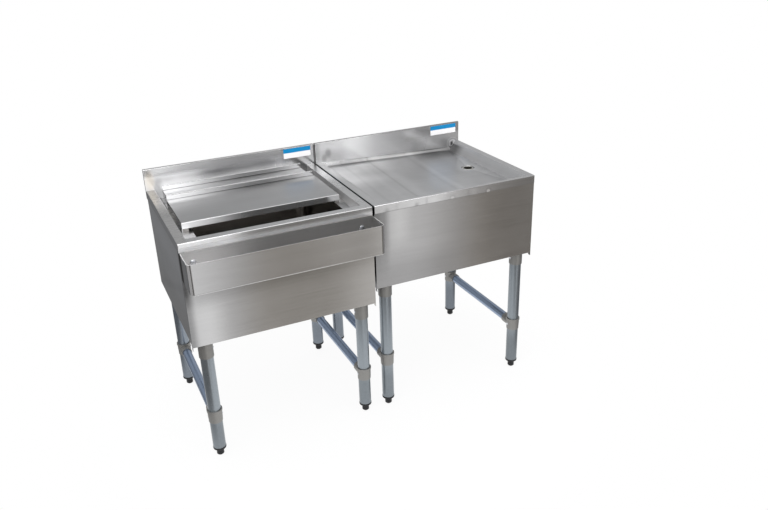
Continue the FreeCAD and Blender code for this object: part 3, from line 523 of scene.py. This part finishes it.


# ---- marks of each steel piece -------------------------------------------------------
# Each gives what it adds to a piece's finish.  Places are measured in metres from the box of
# the piece.  A tone of -0.4 is two fifths darker, 0.3 of dull makes three tenths of the metal
# look like grey paint, and a stain is (where, the colour to add there); on the aprons, the rail
# and the left side that colour is a painted warm or cool reflection.  Much of the tone is
# painted light and shade, as each says.
def rail_marks(steel):
    """The bottle rail: a dull trough with painted light at its left, where light falls into it,
    and painted shade towards its right; outside it, painted shade in a dark band at the left
    corner and over the right end, and a warm cast in the trough and, as a painted reflection,
    outside to the right."""
    low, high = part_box("bottle_rail")
    skin, past = 0.7 * MM, 1.1 * MM
    inside = 1.0
    for place, a, b in ((steel.x, low.x, high.x), (steel.y, low.y, high.y)):
        inside = steel.times(inside, steel.ease(place, a + skin, a + past),
                             steel.ease(place, b - skin, b - past))
    inside = steel.times(inside, steel.ease(steel.z, low.z + skin, low.z + past))
    # painted light in the left of the trough, turning to painted shade towards its right
    painted_light_fall = steel.ease(steel.x, low.x + 0.06, low.x + 0.30, 0.46, -0.12)
    outside = steel.ease(inside, 1, 0)
    # painted shade: a dark band outside the left corner, and the darker right end
    corner = steel.times(steel.close_to(steel.x, low.x, 0.007, 0.006), outside)
    right = steel.times(steel.swell(steel.x, high.x, (-0.06, 0.12, 1.0)), outside)
    # painted warm reflection outside, towards the right
    warm = steel.times(outside, steel.ease(steel.x, low.x + 0.12, low.x + 0.26))
    return {"tone": steel.total((inside, painted_light_fall), (corner, -0.45), (right, -0.24)),
            "rough": steel.times(inside, 0.16), "dull": steel.times(inside, 0.14),
            "stain_and_reflection_tint": (steel.total((inside, 0.4), warm), (0.012, -0.002, -0.022))}


def bin_top_marks(steel):
    """The bin's top: a nose with a painted highlight towards its left end, painted light along its
    lower part and painted shade along its upper part, a rubbed, warm-tinted left rim with painted
    shade that deepens to the rear, painted shade on the skirt and a pale right wall."""
    low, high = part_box("ice_bin_top")
    front = steel.facing(1, -1.0)
    # painted highlight on the nose towards its left end
    pale = steel.times(front, steel.ease(steel.x, low.x + 0.23, low.x + 0.13))
    # painted light along the nose's lower part, painted shade along its upper part
    lower = steel.times(front, steel.ease(steel.z, high.z - 11 * MM, high.z - 19 * MM),
                        steel.ease(steel.x, low.x + 0.02, low.x + 0.25, 0.40, 1.0))
    upper = steel.times(front, steel.ease(steel.z, high.z - 13 * MM, high.z - 9 * MM),
                        steel.ease(steel.x, low.x + 0.12, low.x + 0.25))
    level = steel.facing(2, 1.0)
    # painted shade on the left rim, deeper to the rear
    left_rim = steel.times(level, steel.ease(steel.x, low.x + 0.034, low.x + 0.024))
    rear = steel.ease(steel.y, low.y + 0.15, low.y + 0.40)
    wear_and_painted_light = steel.maths("ABSOLUTE", steel.noise((40.0, 40.0, 40.0), 4.0, 0.7))
    to_left = steel.facing(0, -1.0)
    # painted shade on the left skirt
    skirt = steel.times(to_left, steel.ease(steel.x, low.x + 0.003, low.x + 0.002))
    right_wall = steel.times(to_left, steel.ease(steel.x, high.x - 0.04, high.x - 0.035))
    tone = steel.total((pale, 0.42), (lower, 0.10), (upper, -0.24), (left_rim, -0.22),
                       (left_rim, rear, -0.42), (left_rim, wear_and_painted_light, 0.07), (skirt, -0.25),
                       (right_wall, 0.15))
    return {"tone": tone, "dull": steel.total((pale, 0.24), (lower, 0.42), (left_rim, 0.10),
                                              (right_wall, 0.45)),
            "stain_and_reflection_tint": (steel.total(left_rim, right_wall), (0.006, 0.001, -0.007))}


def ledge_marks(steel):
    """The ledge beside the lids: painted shade in the slot on the left, a dull one on the right.
    """
    lid_low, lid_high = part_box("front_lid")
    behind = steel.ease(steel.y, lid_low.y - 0.002, lid_low.y + 0.004)
    # painted shade in the slot beside the lid's left side
    left = steel.ease(steel.x, lid_low.x + 0.003, lid_low.x - 0.001)
    right = steel.ease(steel.x, lid_high.x - 0.003, lid_high.x + 0.001)
    return {"tone": steel.times(behind, left, -0.78), "dull": steel.times(behind, right, 0.35),
            "stain_and_reflection_tint": (steel.times(behind, right), (0.012, 0.002, -0.012))}


def lid_marks(name):
    """A lid: painted shade on its side folds, a painted highlight on a lip and a front fold
    towards the left, painted shade in the lip's middle, a painted shadow in the crease at its
    foot, painted shade on the front lid's plate and a painted highlight on the back."""
    def marks(steel):
        low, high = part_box(name)
        lip_depth = 16.8 * MM
        front, rear = steel.facing(1, -1.0), steel.facing(1, 1.0)
        sides = steel.total(steel.facing(0, -1.0), steel.facing(0, 1.0))
        # painted shade on the side folds
        pale = steel.ease(steel.x, low.x + 0.24, low.x + 0.02)
        # painted highlight towards the left and at the right end, painted shade in the lip's
        # middle
        middle = steel.swell(steel.x, low.x, (0.34, 0.26, 1.0))
        right = steel.ease(steel.x, high.x - 0.10, high.x - 0.02)
        end = steel.ease(steel.x, high.x - 0.05, high.x - 0.02)
        fold = steel.times(front, steel.ease(steel.y, low.y + 4 * MM, low.y + 2 * MM))
        lip = steel.times(front, steel.ease(steel.y, high.y - 6 * MM, high.y - 3 * MM))
        # painted shadow in the crease at the lip's foot
        crease = steel.times(steel.close_to(steel.z, high.z - lip_depth, 0.5 * MM, 1.0 * MM),
                             steel.ease(steel.y, high.y - 5 * MM, high.y - 3 * MM))
        plate = steel.times(steel.facing(2, 1.0),
                            steel.ease(steel.y, high.y - 4 * MM, high.y - 6 * MM))
        # painted highlight on the back of the lip
        painted_back_highlight = steel.times(rear, steel.ease(steel.z, high.z - 17 * MM, high.z - 14 * MM),
                                steel.ease(steel.x, low.x + 0.34, low.x + 0.20, 0.25, 1.0))
        lip_painted_light = steel.total(0.12, (pale, 0.35), (middle, -0.52), (right, 0.12))
        fold_highlight_dull = steel.total(0.14, (pale, 0.76), (end, 0.5))
        # painted shade on the front lid's plate
        plate_painted_shade = -0.17 if name == "front_lid" else 0.02
        return {"tone": steel.total((sides, -0.72), (fold, pale, 0.65), (lip, lip_painted_light),
                                    (crease, -0.60), (plate, plate_painted_shade), (painted_back_highlight, 0.72)),
                "dull": steel.total((lip, right, 0.08), (fold, fold_highlight_dull), (painted_back_highlight, 0.75))}
    return marks


def bin_apron_marks(steel):
    """Painted shade towards its left fold and under the rail, painted light between, with a warm
    cast to the right that is a painted reflection."""
    low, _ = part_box("ice_bin_apron")
    rail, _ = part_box("bottle_rail")
    # painted shade towards the left fold
    left = steel.ease(steel.x, low.x + 0.030, low.x + 0.004)
    # painted shade under the rail
    shade = steel.times(steel.ease(steel.z, rail.z - 0.11, rail.z - 0.02),
                        steel.ease(steel.x, low.x + 0.02, low.x + 0.2, 0.6, 1.0))
    # painted light between the left fold and the rail's shade
    pale = steel.times(steel.swell(steel.x, low.x, (0.065, 0.075, 0.22)),
                       steel.ease(steel.z, rail.z - 0.04, rail.z - 0.12))
    return {"tone": steel.total((left, -0.45), (left, shade, -0.30), (shade, -0.34), pale),
            "stain_and_reflection_tint": (steel.ease(steel.x, low.x + 0.12, low.x + 0.26), WARM_REFLECTION_CAST)}


def board_apron_marks(steel):
    """Painted shade towards its left fold, over its upper left and at its foot, painted light
    beside the fold, with a warm cast to the right that is a painted reflection."""
    low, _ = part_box("drainboard_apron")
    # painted shade towards the left fold, over the upper left and at the foot; painted light
    # beside the fold
    left = steel.ease(steel.x, low.x + 0.030, low.x + 0.004)
    foot = steel.times(steel.ease(steel.z, low.z + 0.16, low.z + 0.04),
                       steel.ease(steel.x, low.x + 0.36, low.x + 0.22))
    pale = steel.times(steel.swell(steel.x, low.x, (0.085, 0.06, 0.20)),
                       steel.ease(steel.z, low.z + 0.12, low.z + 0.2))
    upper = steel.ease(steel.z, low.z + 0.03, low.z + 0.20)
    dark = steel.times(steel.ease(steel.x, low.x + 0.060, low.x + 0.030), upper)
    return {"tone": steel.total((left, upper, -0.14), (dark, -0.42), (foot, -0.20), pale),
            "stain_and_reflection_tint": (steel.ease(steel.x, low.x + 0.28, low.x + 0.42), WARM_REFLECTION_CAST)}


def left_side_marks(steel):
    """A painted reflection, cooler and paler, above, painted shade, darker and warmer, below,
    painted light on soft dents and painted shade along a crease.
    """
    _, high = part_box("ice_bin_left_side")
    # painted reflection above, painted shade below, painted light on dents, painted shade along
    # the crease
    upper = steel.swell(steel.z, high.z, (-0.08, 0.09, 1.0))
    lower = steel.ease(steel.z, high.z - 0.19, high.z - 0.27)
    cloud = steel.noise((5.0, 9.0, 12.0), 3.0, 0.55, None, 0.8)
    crease = steel.close_to(steel.total(steel.z, (steel.y, 0.35)), 0.545, 0.004, 0.02)
    return {"tone": steel.total((upper, 0.26), (lower, -0.22), (cloud, 0.16), (crease, -0.16)),
            "stain_and_reflection_tint": (steel.total(upper, (lower, -1.0)), (-0.010, -0.002, 0.012))}


def cut_edge(steel, low, high):
    """One round the ends of a backsplash and over its top, where the sheet's edge is dark."""
    top = steel.ease(steel.z, high.z - 1.2 * MM, high.z - 0.4 * MM)
    left = steel.ease(steel.x, low.x + 1.6 * MM, low.x + 0.6 * MM)
    right = steel.ease(steel.x, high.x - 1.6 * MM, high.x - 0.6 * MM)
    return steel.maths("MINIMUM", steel.total(top, left, right), 1.0)


def bin_splash_marks(steel):
    """The bin's backsplash: pale clouds that are painted reflections, dulled like a haze left by
    wiping, painted light near its left end and painted shade at its right end, a brown patch at
    its left end and a smudge.
    """
    low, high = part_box("ice_bin_backsplash")
    front = steel.facing(1, -1.0)
    patch = steel.spot((low.x + 0.018, low.y, high.z - 0.042), 0.006, 0.016, (1, 0, 0.45))
    smudge = steel.spot((low.x + 0.047, low.y, high.z - 0.053), 0.003, 0.014, (1, 0, 0.6))
    # painted reflections as pale clouds across the front
    clouds = steel.total(steel.ease(steel.x, low.x + 0.25, low.x + 0.14),
                         steel.swell(steel.x, low.x, (0.48, 0.07, 0.42), (0.36, 0.16, 0.26),
                                     (0.01, 0.03, -0.25), (0.11, 0.04, 0.10)))
    haze_and_painted_reflection = steel.times(front, steel.ease(steel.z, high.z - 0.018, high.z - 0.036), clouds)
    # painted light near the left end and painted shade at the right end
    corner = steel.swell(steel.x, low.x, (0.04, 0.12, 0.20), (0.0, 0.02, 0.15))
    right = steel.ease(steel.x, high.x - 0.09, high.x - 0.05)
    wear_and_painted_light = steel.total((smudge, -0.30), corner, (right, -0.22))
    return {"tone": steel.total((cut_edge(steel, low, high), -0.55), (haze_and_painted_reflection, 0.42), (front, wear_and_painted_light)),
            "dull": steel.times(haze_and_painted_reflection, 0.62),
            "stain_and_reflection_tint": (steel.times(front, patch), (0.16, 0.10, 0.01))}


def board_splash_marks(steel):
    """The drainboard's backsplash: a painted highlight along a bright stretch, painted shade
    towards its right end, three dark blots and the ground weld.
    """
    low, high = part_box("drainboard_backsplash")
    front = steel.facing(1, -1.0)
    blot, small_blot, wide_blot = [
        steel.spot((low.x + along, low.y, high.z - down), core, soft, (1, 0, squash))
        for along, down, core, soft, squash in ((0.051, 0.044, 0.004, 0.014, 0.7),
                                                (0.034, 0.062, 0.003, 0.012, 0.7),
                                                (0.430, 0.055, 0.010, 0.035, 1.2))]
    # painted highlight along a bright stretch
    bright = steel.swell(steel.x, low.x, (0.155, 0.10, 0.30), (0.005, 0.022, -0.26),
                         (0.105, 0.03, -0.06))
    # painted shade towards the right end
    fade = steel.ease(steel.x, low.x + 0.22, low.x + 0.34)
    far = steel.ease(steel.x, low.x + 0.38, low.x + 0.48)
    haze_and_painted_reflection = steel.times(far, steel.ease(steel.z, high.z - 0.030, high.z - 0.045))
    rings, ground = weld_bead_shading(steel, BOARD_WELD)
    wear_and_painted_light = steel.total(bright, (steel.total(blot, small_blot), -0.34), (wide_blot, -0.16),
                       (fade, -0.12), (far, -0.06), rings)
    return {"tone": steel.total((cut_edge(steel, low, high), -0.55), (front, wear_and_painted_light)),
            "dull": steel.times(front, steel.total((haze_and_painted_reflection, 0.30), (ground, 0.20)))}


def weld_bead_shading(steel, centre):
    """A ground corner weld, with painted shade in its middle and painted highlights on two bright
    rims where its bead catches light, and where it is.
    """
    away = steel.length(steel.vector("SUBTRACT", steel.place, centre))
    away = steel.total(away, (steel.noise((90.0, 90.0, 90.0), 3.0, 0.6), 0.004))
    rims = steel.swell(away, 0.0, (0.0, 0.012, -0.85), (0.014, 0.0035, 0.25),
                       (0.019, 0.004, -0.22), (0.024, 0.004, 0.08))
    return rims, steel.ease(away, 0.027, 0.021)


def board_top_marks(steel):
    """Painted reflections as bands across the pan, painted shade on its rear and in its rear
    corner, a painted highlight and shadow along the rear cove, the ground weld in its rear corner,
    the rubbed ring round the drain, a painted highlight on the nose's left part and the spots on
    the nose."""
    low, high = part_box("drainboard_top")
    drain_low, drain_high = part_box("drainboard_drain")
    drain = ((drain_low.x + drain_high.x) / 2, (drain_low.y + drain_high.y) / 2, drain_high.z)
    flat = steel.ease(steel.z, high.z - 4 * MM, high.z - 9 * MM)
    across = steel.total(steel.x, (steel.ease(steel.y, high.y, low.y), 0.02))
    # painted reflections as bands across the pan
    bands = steel.swell(across, low.x, (0.098, 0.012, -0.08), (0.160, 0.020, 0.05),
                        (0.205, 0.009, -0.14), (0.232, 0.030, 0.07), (0.290, 0.050, -0.07),
                        (0.362, 0.010, -0.06), (0.385, 0.020, 0.12), (0.470, 0.050, -0.06))
    cloudy = steel.times(flat, steel.noise((9.0, 5.0, 9.0), 4.0, 0.6), 0.12)
    # painted shade on the rear and in the rear corner
    shaded = steel.times(steel.ease(steel.y, low.y + 0.28, low.y + 0.38),
                         steel.swell(steel.x, low.x, (0.135, 0.155, -0.42)))
    corner = steel.times(steel.ease(steel.y, low.y + 0.41, low.y + 0.48),
                         steel.ease(steel.x, low.x + 0.36, low.x + 0.47), -0.46)
    # painted highlight and painted shadow along the rear cove
    cove = steel.times(steel.swell(steel.y, high.y, (-0.011, 0.0022, -0.40),
                                   (-0.0055, 0.005, 0.24), (0.0, 0.002, -0.35)),
                       steel.ease(steel.x, low.x + 0.03, low.x + 0.05),
                       steel.ease(steel.x, high.x - 0.03, high.x - 0.09))
    rings, ground = weld_bead_shading(steel, BOARD_WELD)
    wall = steel.times(steel.facing(0, -1.0, 0.3),
                       steel.ease(steel.x, high.x - 0.06, high.x - 0.05))
    halo = steel.spot(drain, 0.028, 0.03)
    nose, line = nose_spots(steel, "drainboard_top", ((0.0426, -0.16), (0.149, -0.22),
                                                      (0.282, 0.26), (0.420, 0.70)))
    # painted highlight on the nose's left part
    painted_highlight_nose = steel.times(steel.facing(1, -1.0), steel.ease(steel.x, low.x + 0.34, low.x + 0.22),
                            steel.ease(steel.z, high.z - 27 * MM, high.z - 25 * MM))
    tone = steel.total((flat, steel.total(bands, shaded, corner)), cloudy, cove, rings,
                       (halo, 0.08), nose, line, (painted_highlight_nose, 0.24), (wall, -0.22))
    dull = steel.total((painted_highlight_nose, 0.12), (wall, 0.40), (ground, 0.3))
    return {"tone": tone,
            "rough": steel.total((halo, -0.05), (wall, 0.16)),
            "dull": steel.maths("MINIMUM", dull, 1.0)}


def nose_spots(steel, name, spots):
    """Round spot-weld marks on a nose, each (way along, tone), and the dark seam below."""
    low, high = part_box(name)
    drop = 24 * MM
    tone = 0.0
    for along, strength in spots:
        centre = (low.x + along, low.y, high.z - drop)
        tone = steel.total(tone, (steel.spot(centre, 0.0035, 0.006), strength),
                           (steel.spot(centre, 0.008, 0.008), -0.10))
    seam = steel.times(steel.facing(1, -1.0),
                       steel.ease(steel.z, high.z - 25.6 * MM, high.z - 26.6 * MM))
    fade = steel.ease(steel.x, low.x + 0.30, low.x + 0.55, -0.34, -0.12)
    return tone, steel.times(seam, fade)


# ---- light, ground and camera --------------------------------------------------------
# What metal sees of the room: (degrees round from the front, right-hand side positive, and
# the colour there), low down and higher up.
ROOM_BELOW = (
    (-180, (0.19, 0.195, 0.20)), (-165, (0.19, 0.19, 0.195)), (-150, (0.20, 0.20, 0.20)),
    (-60, (0.19, 0.19, 0.19)), (-20, (0.16, 0.15, 0.14)), (-4, (0.60, 0.59, 0.58)),
    (4, (1.0, 1.0, 1.0)), (10, (1.0, 1.0, 1.0)), (11.5, (0.66, 0.65, 0.64)),
    (13, (0.42, 0.405, 0.39)), (15, (0.35, 0.335, 0.315)), (20.5, (0.35, 0.335, 0.315)),
    (22.3, (0.56, 0.55, 0.54)), (24.5, (0.78, 0.775, 0.77)), (26, (0.96, 0.955, 0.95)),
    (28.3, (0.82, 0.815, 0.81)), (29.6, (0.60, 0.58, 0.56)), (31.5, (0.32, 0.30, 0.28)),
    (34, (0.18, 0.165, 0.15)), (36, (0.19, 0.18, 0.17)), (39, (0.32, 0.31, 0.30)),
    (60, (0.20, 0.19, 0.19)), (110, (0.28, 0.28, 0.29)), (180, (0.19, 0.195, 0.20)))
ROOM_ABOVE = (
    (-180, (0.46, 0.47, 0.48)), (-120, (0.45, 0.46, 0.47)), (-60, (0.62, 0.62, 0.62)),
    (0, (0.62, 0.62, 0.62)), (10, (0.60, 0.60, 0.60)), (14, (0.45, 0.45, 0.45)),
    (18, (0.60, 0.60, 0.60)), (24, (0.60, 0.60, 0.60)), (28, (0.48, 0.48, 0.48)),
    (40, (0.50, 0.50, 0.50)), (60, (0.50, 0.49, 0.48)), (120, (0.50, 0.50, 0.50)),
    (143, (0.50, 0.50, 0.505)), (149, (0.60, 0.605, 0.61)), (156, (0.64, 0.645, 0.65)),
    (161, (0.57, 0.575, 0.58)), (172, (0.48, 0.485, 0.49)), (180, (0.46, 0.47, 0.48)))


def room_tones(sky, turn, stops):
    """A colour ramp over the turn, where 0.5 is the front and 0 and 1 are the rear."""
    ramp = sky.tree.nodes.new("ShaderNodeValToRGB")
    sky.feed(ramp.inputs[0], turn)
    elements = ramp.color_ramp.elements
    while len(elements) > 1:
        elements.remove(elements[-1])
    for i, (degrees, colour) in enumerate(stops):
        at = degrees / 360.0 + 0.5
        element = elements[0] if i == 0 else elements.new(at)
        element.position = at
        element.color = (*colour, 1.0)
    ramp.color_ramp.interpolation = "LINEAR"
    return ramp.outputs[0]


def studio():
    """The surroundings: white to the lens, to metal and to clear things, with the room's
    darker parts shading what metal sees of it, and even light for all else.

    The shade goes by heading, the angle of a ray round from the front with the right-hand
    side positive, and by lift, its height.
    """
    world = bpy.data.worlds.new("studio")
    bpy.context.scene.world = world
    world.use_nodes = True
    sky = Nodes(world.node_tree)
    sky.tree.nodes.clear()
    across, depth, lift = sky.parts_of(sky.node("TexCoord", output="Generated"))
    heading = sky.maths("ARCTAN2", across, sky.maths("MULTIPLY", depth, -1.0))
    turn = sky.maths("MULTIPLY_ADD", heading, 1 / (2 * math.pi), 0.5)
    shade = sky.blend(sky.ease(lift, -0.12, 0.10), room_tones(sky, turn, ROOM_BELOW),
                      room_tones(sky, turn, ROOM_ABOVE))
    shade = sky.blend(sky.ease(lift, 0.70, 0.95), shade, WHITE)
    mirror, plain = sky.ray_kinds()
    colour = sky.blend(plain, (0.95, 0.95, 0.96, 1.0), WHITE)
    colour = sky.blend(mirror, colour, shade, "MULTIPLY")
    output = sky.tree.nodes.new("ShaderNodeOutputWorld")
    sky.feed(output.inputs["Surface"], sky.node("Background", {"Color": colour}))


def studio_floor():
    """A white disc under the units that fades into the background and keeps their shadow.
    Its points are radius times (cos, sin) of the turn, just below the feet."""
    rings = np.linspace(0.02, 1.5, 24)[:, None]
    turn = np.linspace(0, 2 * np.pi, 72, endpoint=False)[None, :]
    z = np.full((rings.size, turn.size), -0.4 * MM)
    z[-1] = -0.6 * MM
    points = np.stack([rings * np.cos(turn), rings * np.sin(turn), z], -1)
    upwards = ring_quads(*z.shape)[:, ::-1].tolist()
    mesh = bpy.data.meshes.new("studio_floor")
    mesh.from_pydata(points.reshape(-1, 3).tolist(), [], upwards + [list(range(turn.size))])
    floor = put("studio_floor", mesh)

    ground = Finish("studio_floor")
    _, plain = ground.ray_kinds()
    fade_start, fade_end = 0.62, 0.98
    solid = ground.ease(ground.length(ground.place), fade_end, fade_start)
    grain = ground.noise((35.0, 35.0, 35.0), 3.0, 0.6)
    white = ground.scaled((0.86, 0.86, 0.86), ground.total(1.0, (grain, 0.01)))
    matt = ground.node("BsdfDiffuse", {"Color": white})
    glow = ground.node("Emission", {"Strength": 1.0})
    lit = ground.node("MixShader", {0: ground.times(plain, 0.93), 1: matt, 2: glow})
    faded = ground.node("MixShader", {0: solid, 1: ground.node("BsdfTransparent"), 2: lit})
    ground.feed(ground.tree.nodes["Material Output"].inputs["Surface"], faded)
    ground.tree.nodes.remove(ground.shader)
    mesh.materials.append(ground.material)


def standing(right, up, back, place):
    """The matrix of a lamp or camera from its own three axes and its place."""
    rows = np.stack([right, up, back, place], 1).tolist()
    return Matrix(rows + [(0, 0, 0, 1)])


def soft_box(name, place, target, size, brightness):
    """A soft lamp, (width, height) in metres, that faces a point.  Its power is brightness
    times pi times its area, so that a mirror shows it at that brightness."""
    light = bpy.data.lights.new(name, "AREA")
    light.shape = "RECTANGLE"
    light.size, light.size_y = size
    light.energy = brightness * math.pi * size[0] * size[1]
    away = np.asarray(place, float) - np.asarray(target, float)
    back = away / np.linalg.norm(away)
    right = np.cross((0, 0, 1), back)
    right /= np.linalg.norm(right)
    put(name, light).matrix_world = standing(right, np.cross(back, right), back, place)


def viewpoint():
    """The camera, from its place and its turns about the upright, across and onward axes."""
    place, turns = (-0.9005, -2.2452, 1.6026), (-24.655, -24.275, 1.849)
    facing = Matrix.Identity(3)
    for degrees, axis in zip(turns, "ZXY"):
        facing = facing @ Matrix.Rotation(math.radians(degrees), 3, axis)
    right, ahead, up = facing.col
    lens = bpy.data.cameras.new("viewpoint")
    lens.lens = 35.504
    lens.sensor_width = 36.0
    lens.sensor_fit = "HORIZONTAL"
    holder = put("viewpoint", lens)
    holder.matrix_world = standing(right, up, -ahead, place)
    bpy.context.scene.camera = holder


# ---- putting it together -------------------------------------------------------------
def dress(material, *nodes):
    """Gives a finish to CAD nodes."""
    for name in nodes:
        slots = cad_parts[name].material_slots
        if not slots:
            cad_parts[name].data.materials.append(material)
        for each in slots:
            each.material = material


def nodes_ending(*endings):
    """The names of the nodes that end in any of the given words."""
    return [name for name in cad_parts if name.endswith(endings)]


def dress_everything():
    """Hands every node its finish, the general ones first."""
    plain = sheet_steel("rolled_steel")
    dress(plain, *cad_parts)
    tube = galvanised_tube("galvanised_tube", (0.32, 0.355, 0.385))
    # the back legs get a darker copy of the tube: painted shade
    shaded_rear_tube = galvanised_tube("galvanised_tube_rear_shaded", (0.29, 0.325, 0.37))
    spangled = galvanised_sheet()
    cast = cast_zinc()
    nylon = black_nylon()
    fastener = plated_fitting("zinc_plated_fastener", (0.78, 0.80, 0.84))
    waste = plated_fitting("plated_waste", (0.62, 0.61, 0.58))
    legs = [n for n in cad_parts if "_leg_" in n and n.endswith(("_left", "_right"))]
    dress(tube, *legs)
    dress(shaded_rear_tube, *[leg for leg in legs if "_back_" in leg])
    dress(galvanised_tube("galvanised_stretcher", (0.33, 0.41, 0.55)),
          *nodes_ending("stretcher_left", "stretcher_right"))
    dress(spangled, *nodes_ending("rear_panel", "outer_pan", "leg_channels"))
    dress(cast, *nodes_ending("leg_sockets", "tees"))
    dress(nylon, *[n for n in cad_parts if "_foot_" in n], *nodes_ending("leg_plugs"))
    dress(fastener, *nodes_ending("bolts", "set_screws"))
    dress(waste, *nodes_ending("_drain", "drain_nut"))
    dress(rigid_foam(), "ice_bin_insulation")
    for unit, marks, level_rough in (("ice_bin", bin_top_marks, 0.28),
                                     ("drainboard", board_top_marks, 0.34)):
        _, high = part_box(unit + "_top")
        nose = (high.z - NOSE_HEIGHT, high.z, 0.12)
        dress(sheet_steel(unit + "_top_steel", level_rough=level_rough, nose=nose, marks=marks),
              unit + "_top")
    dress(sheet_steel("bottle_rail_steel", marks=rail_marks), "bottle_rail")
    dress(sheet_steel("ledge_steel", marks=ledge_marks), "ice_bin_ledge")
    dress(sheet_steel("left_side_steel", marks=left_side_marks), "ice_bin_left_side")
    for unit, apron_marks, splash_marks in (("ice_bin", bin_apron_marks, bin_splash_marks),
                                            ("drainboard", board_apron_marks, board_splash_marks)):
        splash, apron = unit + "_backsplash", unit + "_apron"
        dress(sheet_steel(apron + "_steel", marks=apron_marks), apron)
        dress(sheet_steel(splash + "_steel", rough=0.17, marks=splash_marks), splash)
    # a darker sheet for the tank: painted shade inside the bin
    dress(sheet_steel("tank_steel_shaded", tint=(0.40, 0.384, 0.366), rough=0.2), "ice_bin_tank")
    for lid in ("front_lid", "rear_lid"):
        dress(sheet_steel(lid + "_steel", level_rough=0.30, marks=lid_marks(lid)), lid)
        rolled_hem(lid, lid, plain)
    lid_rests(sheet_steel("lid_rest_steel", tint=(0.30, 0.29, 0.28), rough=0.3))
    rail_washers(fastener)
    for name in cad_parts:
        if "_foot_" in name:
            foot_thread(name, nylon)
    for leg in legs:
        leg_cap(leg, nylon)
    stickers()
    gap_seal(sheet_steel("gap_strip_steel", tint=(0.42, 0.42, 0.42), rough=0.35))


dress_everything()
studio()
studio_floor()
# name, place, point it faces, (width, height), brightness
soft_box("key_light", (-1.5, -1.5, 3.4), (0, 0, 0.5), (1.8, 1.8), 3.0)
soft_box("front_left_light", (-0.40, -4.0, 2.75), (-0.40, 0, 0.8), (1.5, 1.5), 3.4)
soft_box("front_right_light", (1.85, -4.0, 2.75), (0.1, 0, 0.8), (0.95, 1.5), 3.9)
soft_box("overhead_light", (-0.3, -0.6, 3.2), (-0.3, -0.45, 0.8), (2.4, 1.6), 1.8)
viewpoint()

scene = bpy.context.scene
scene.view_settings.view_transform = "Standard"
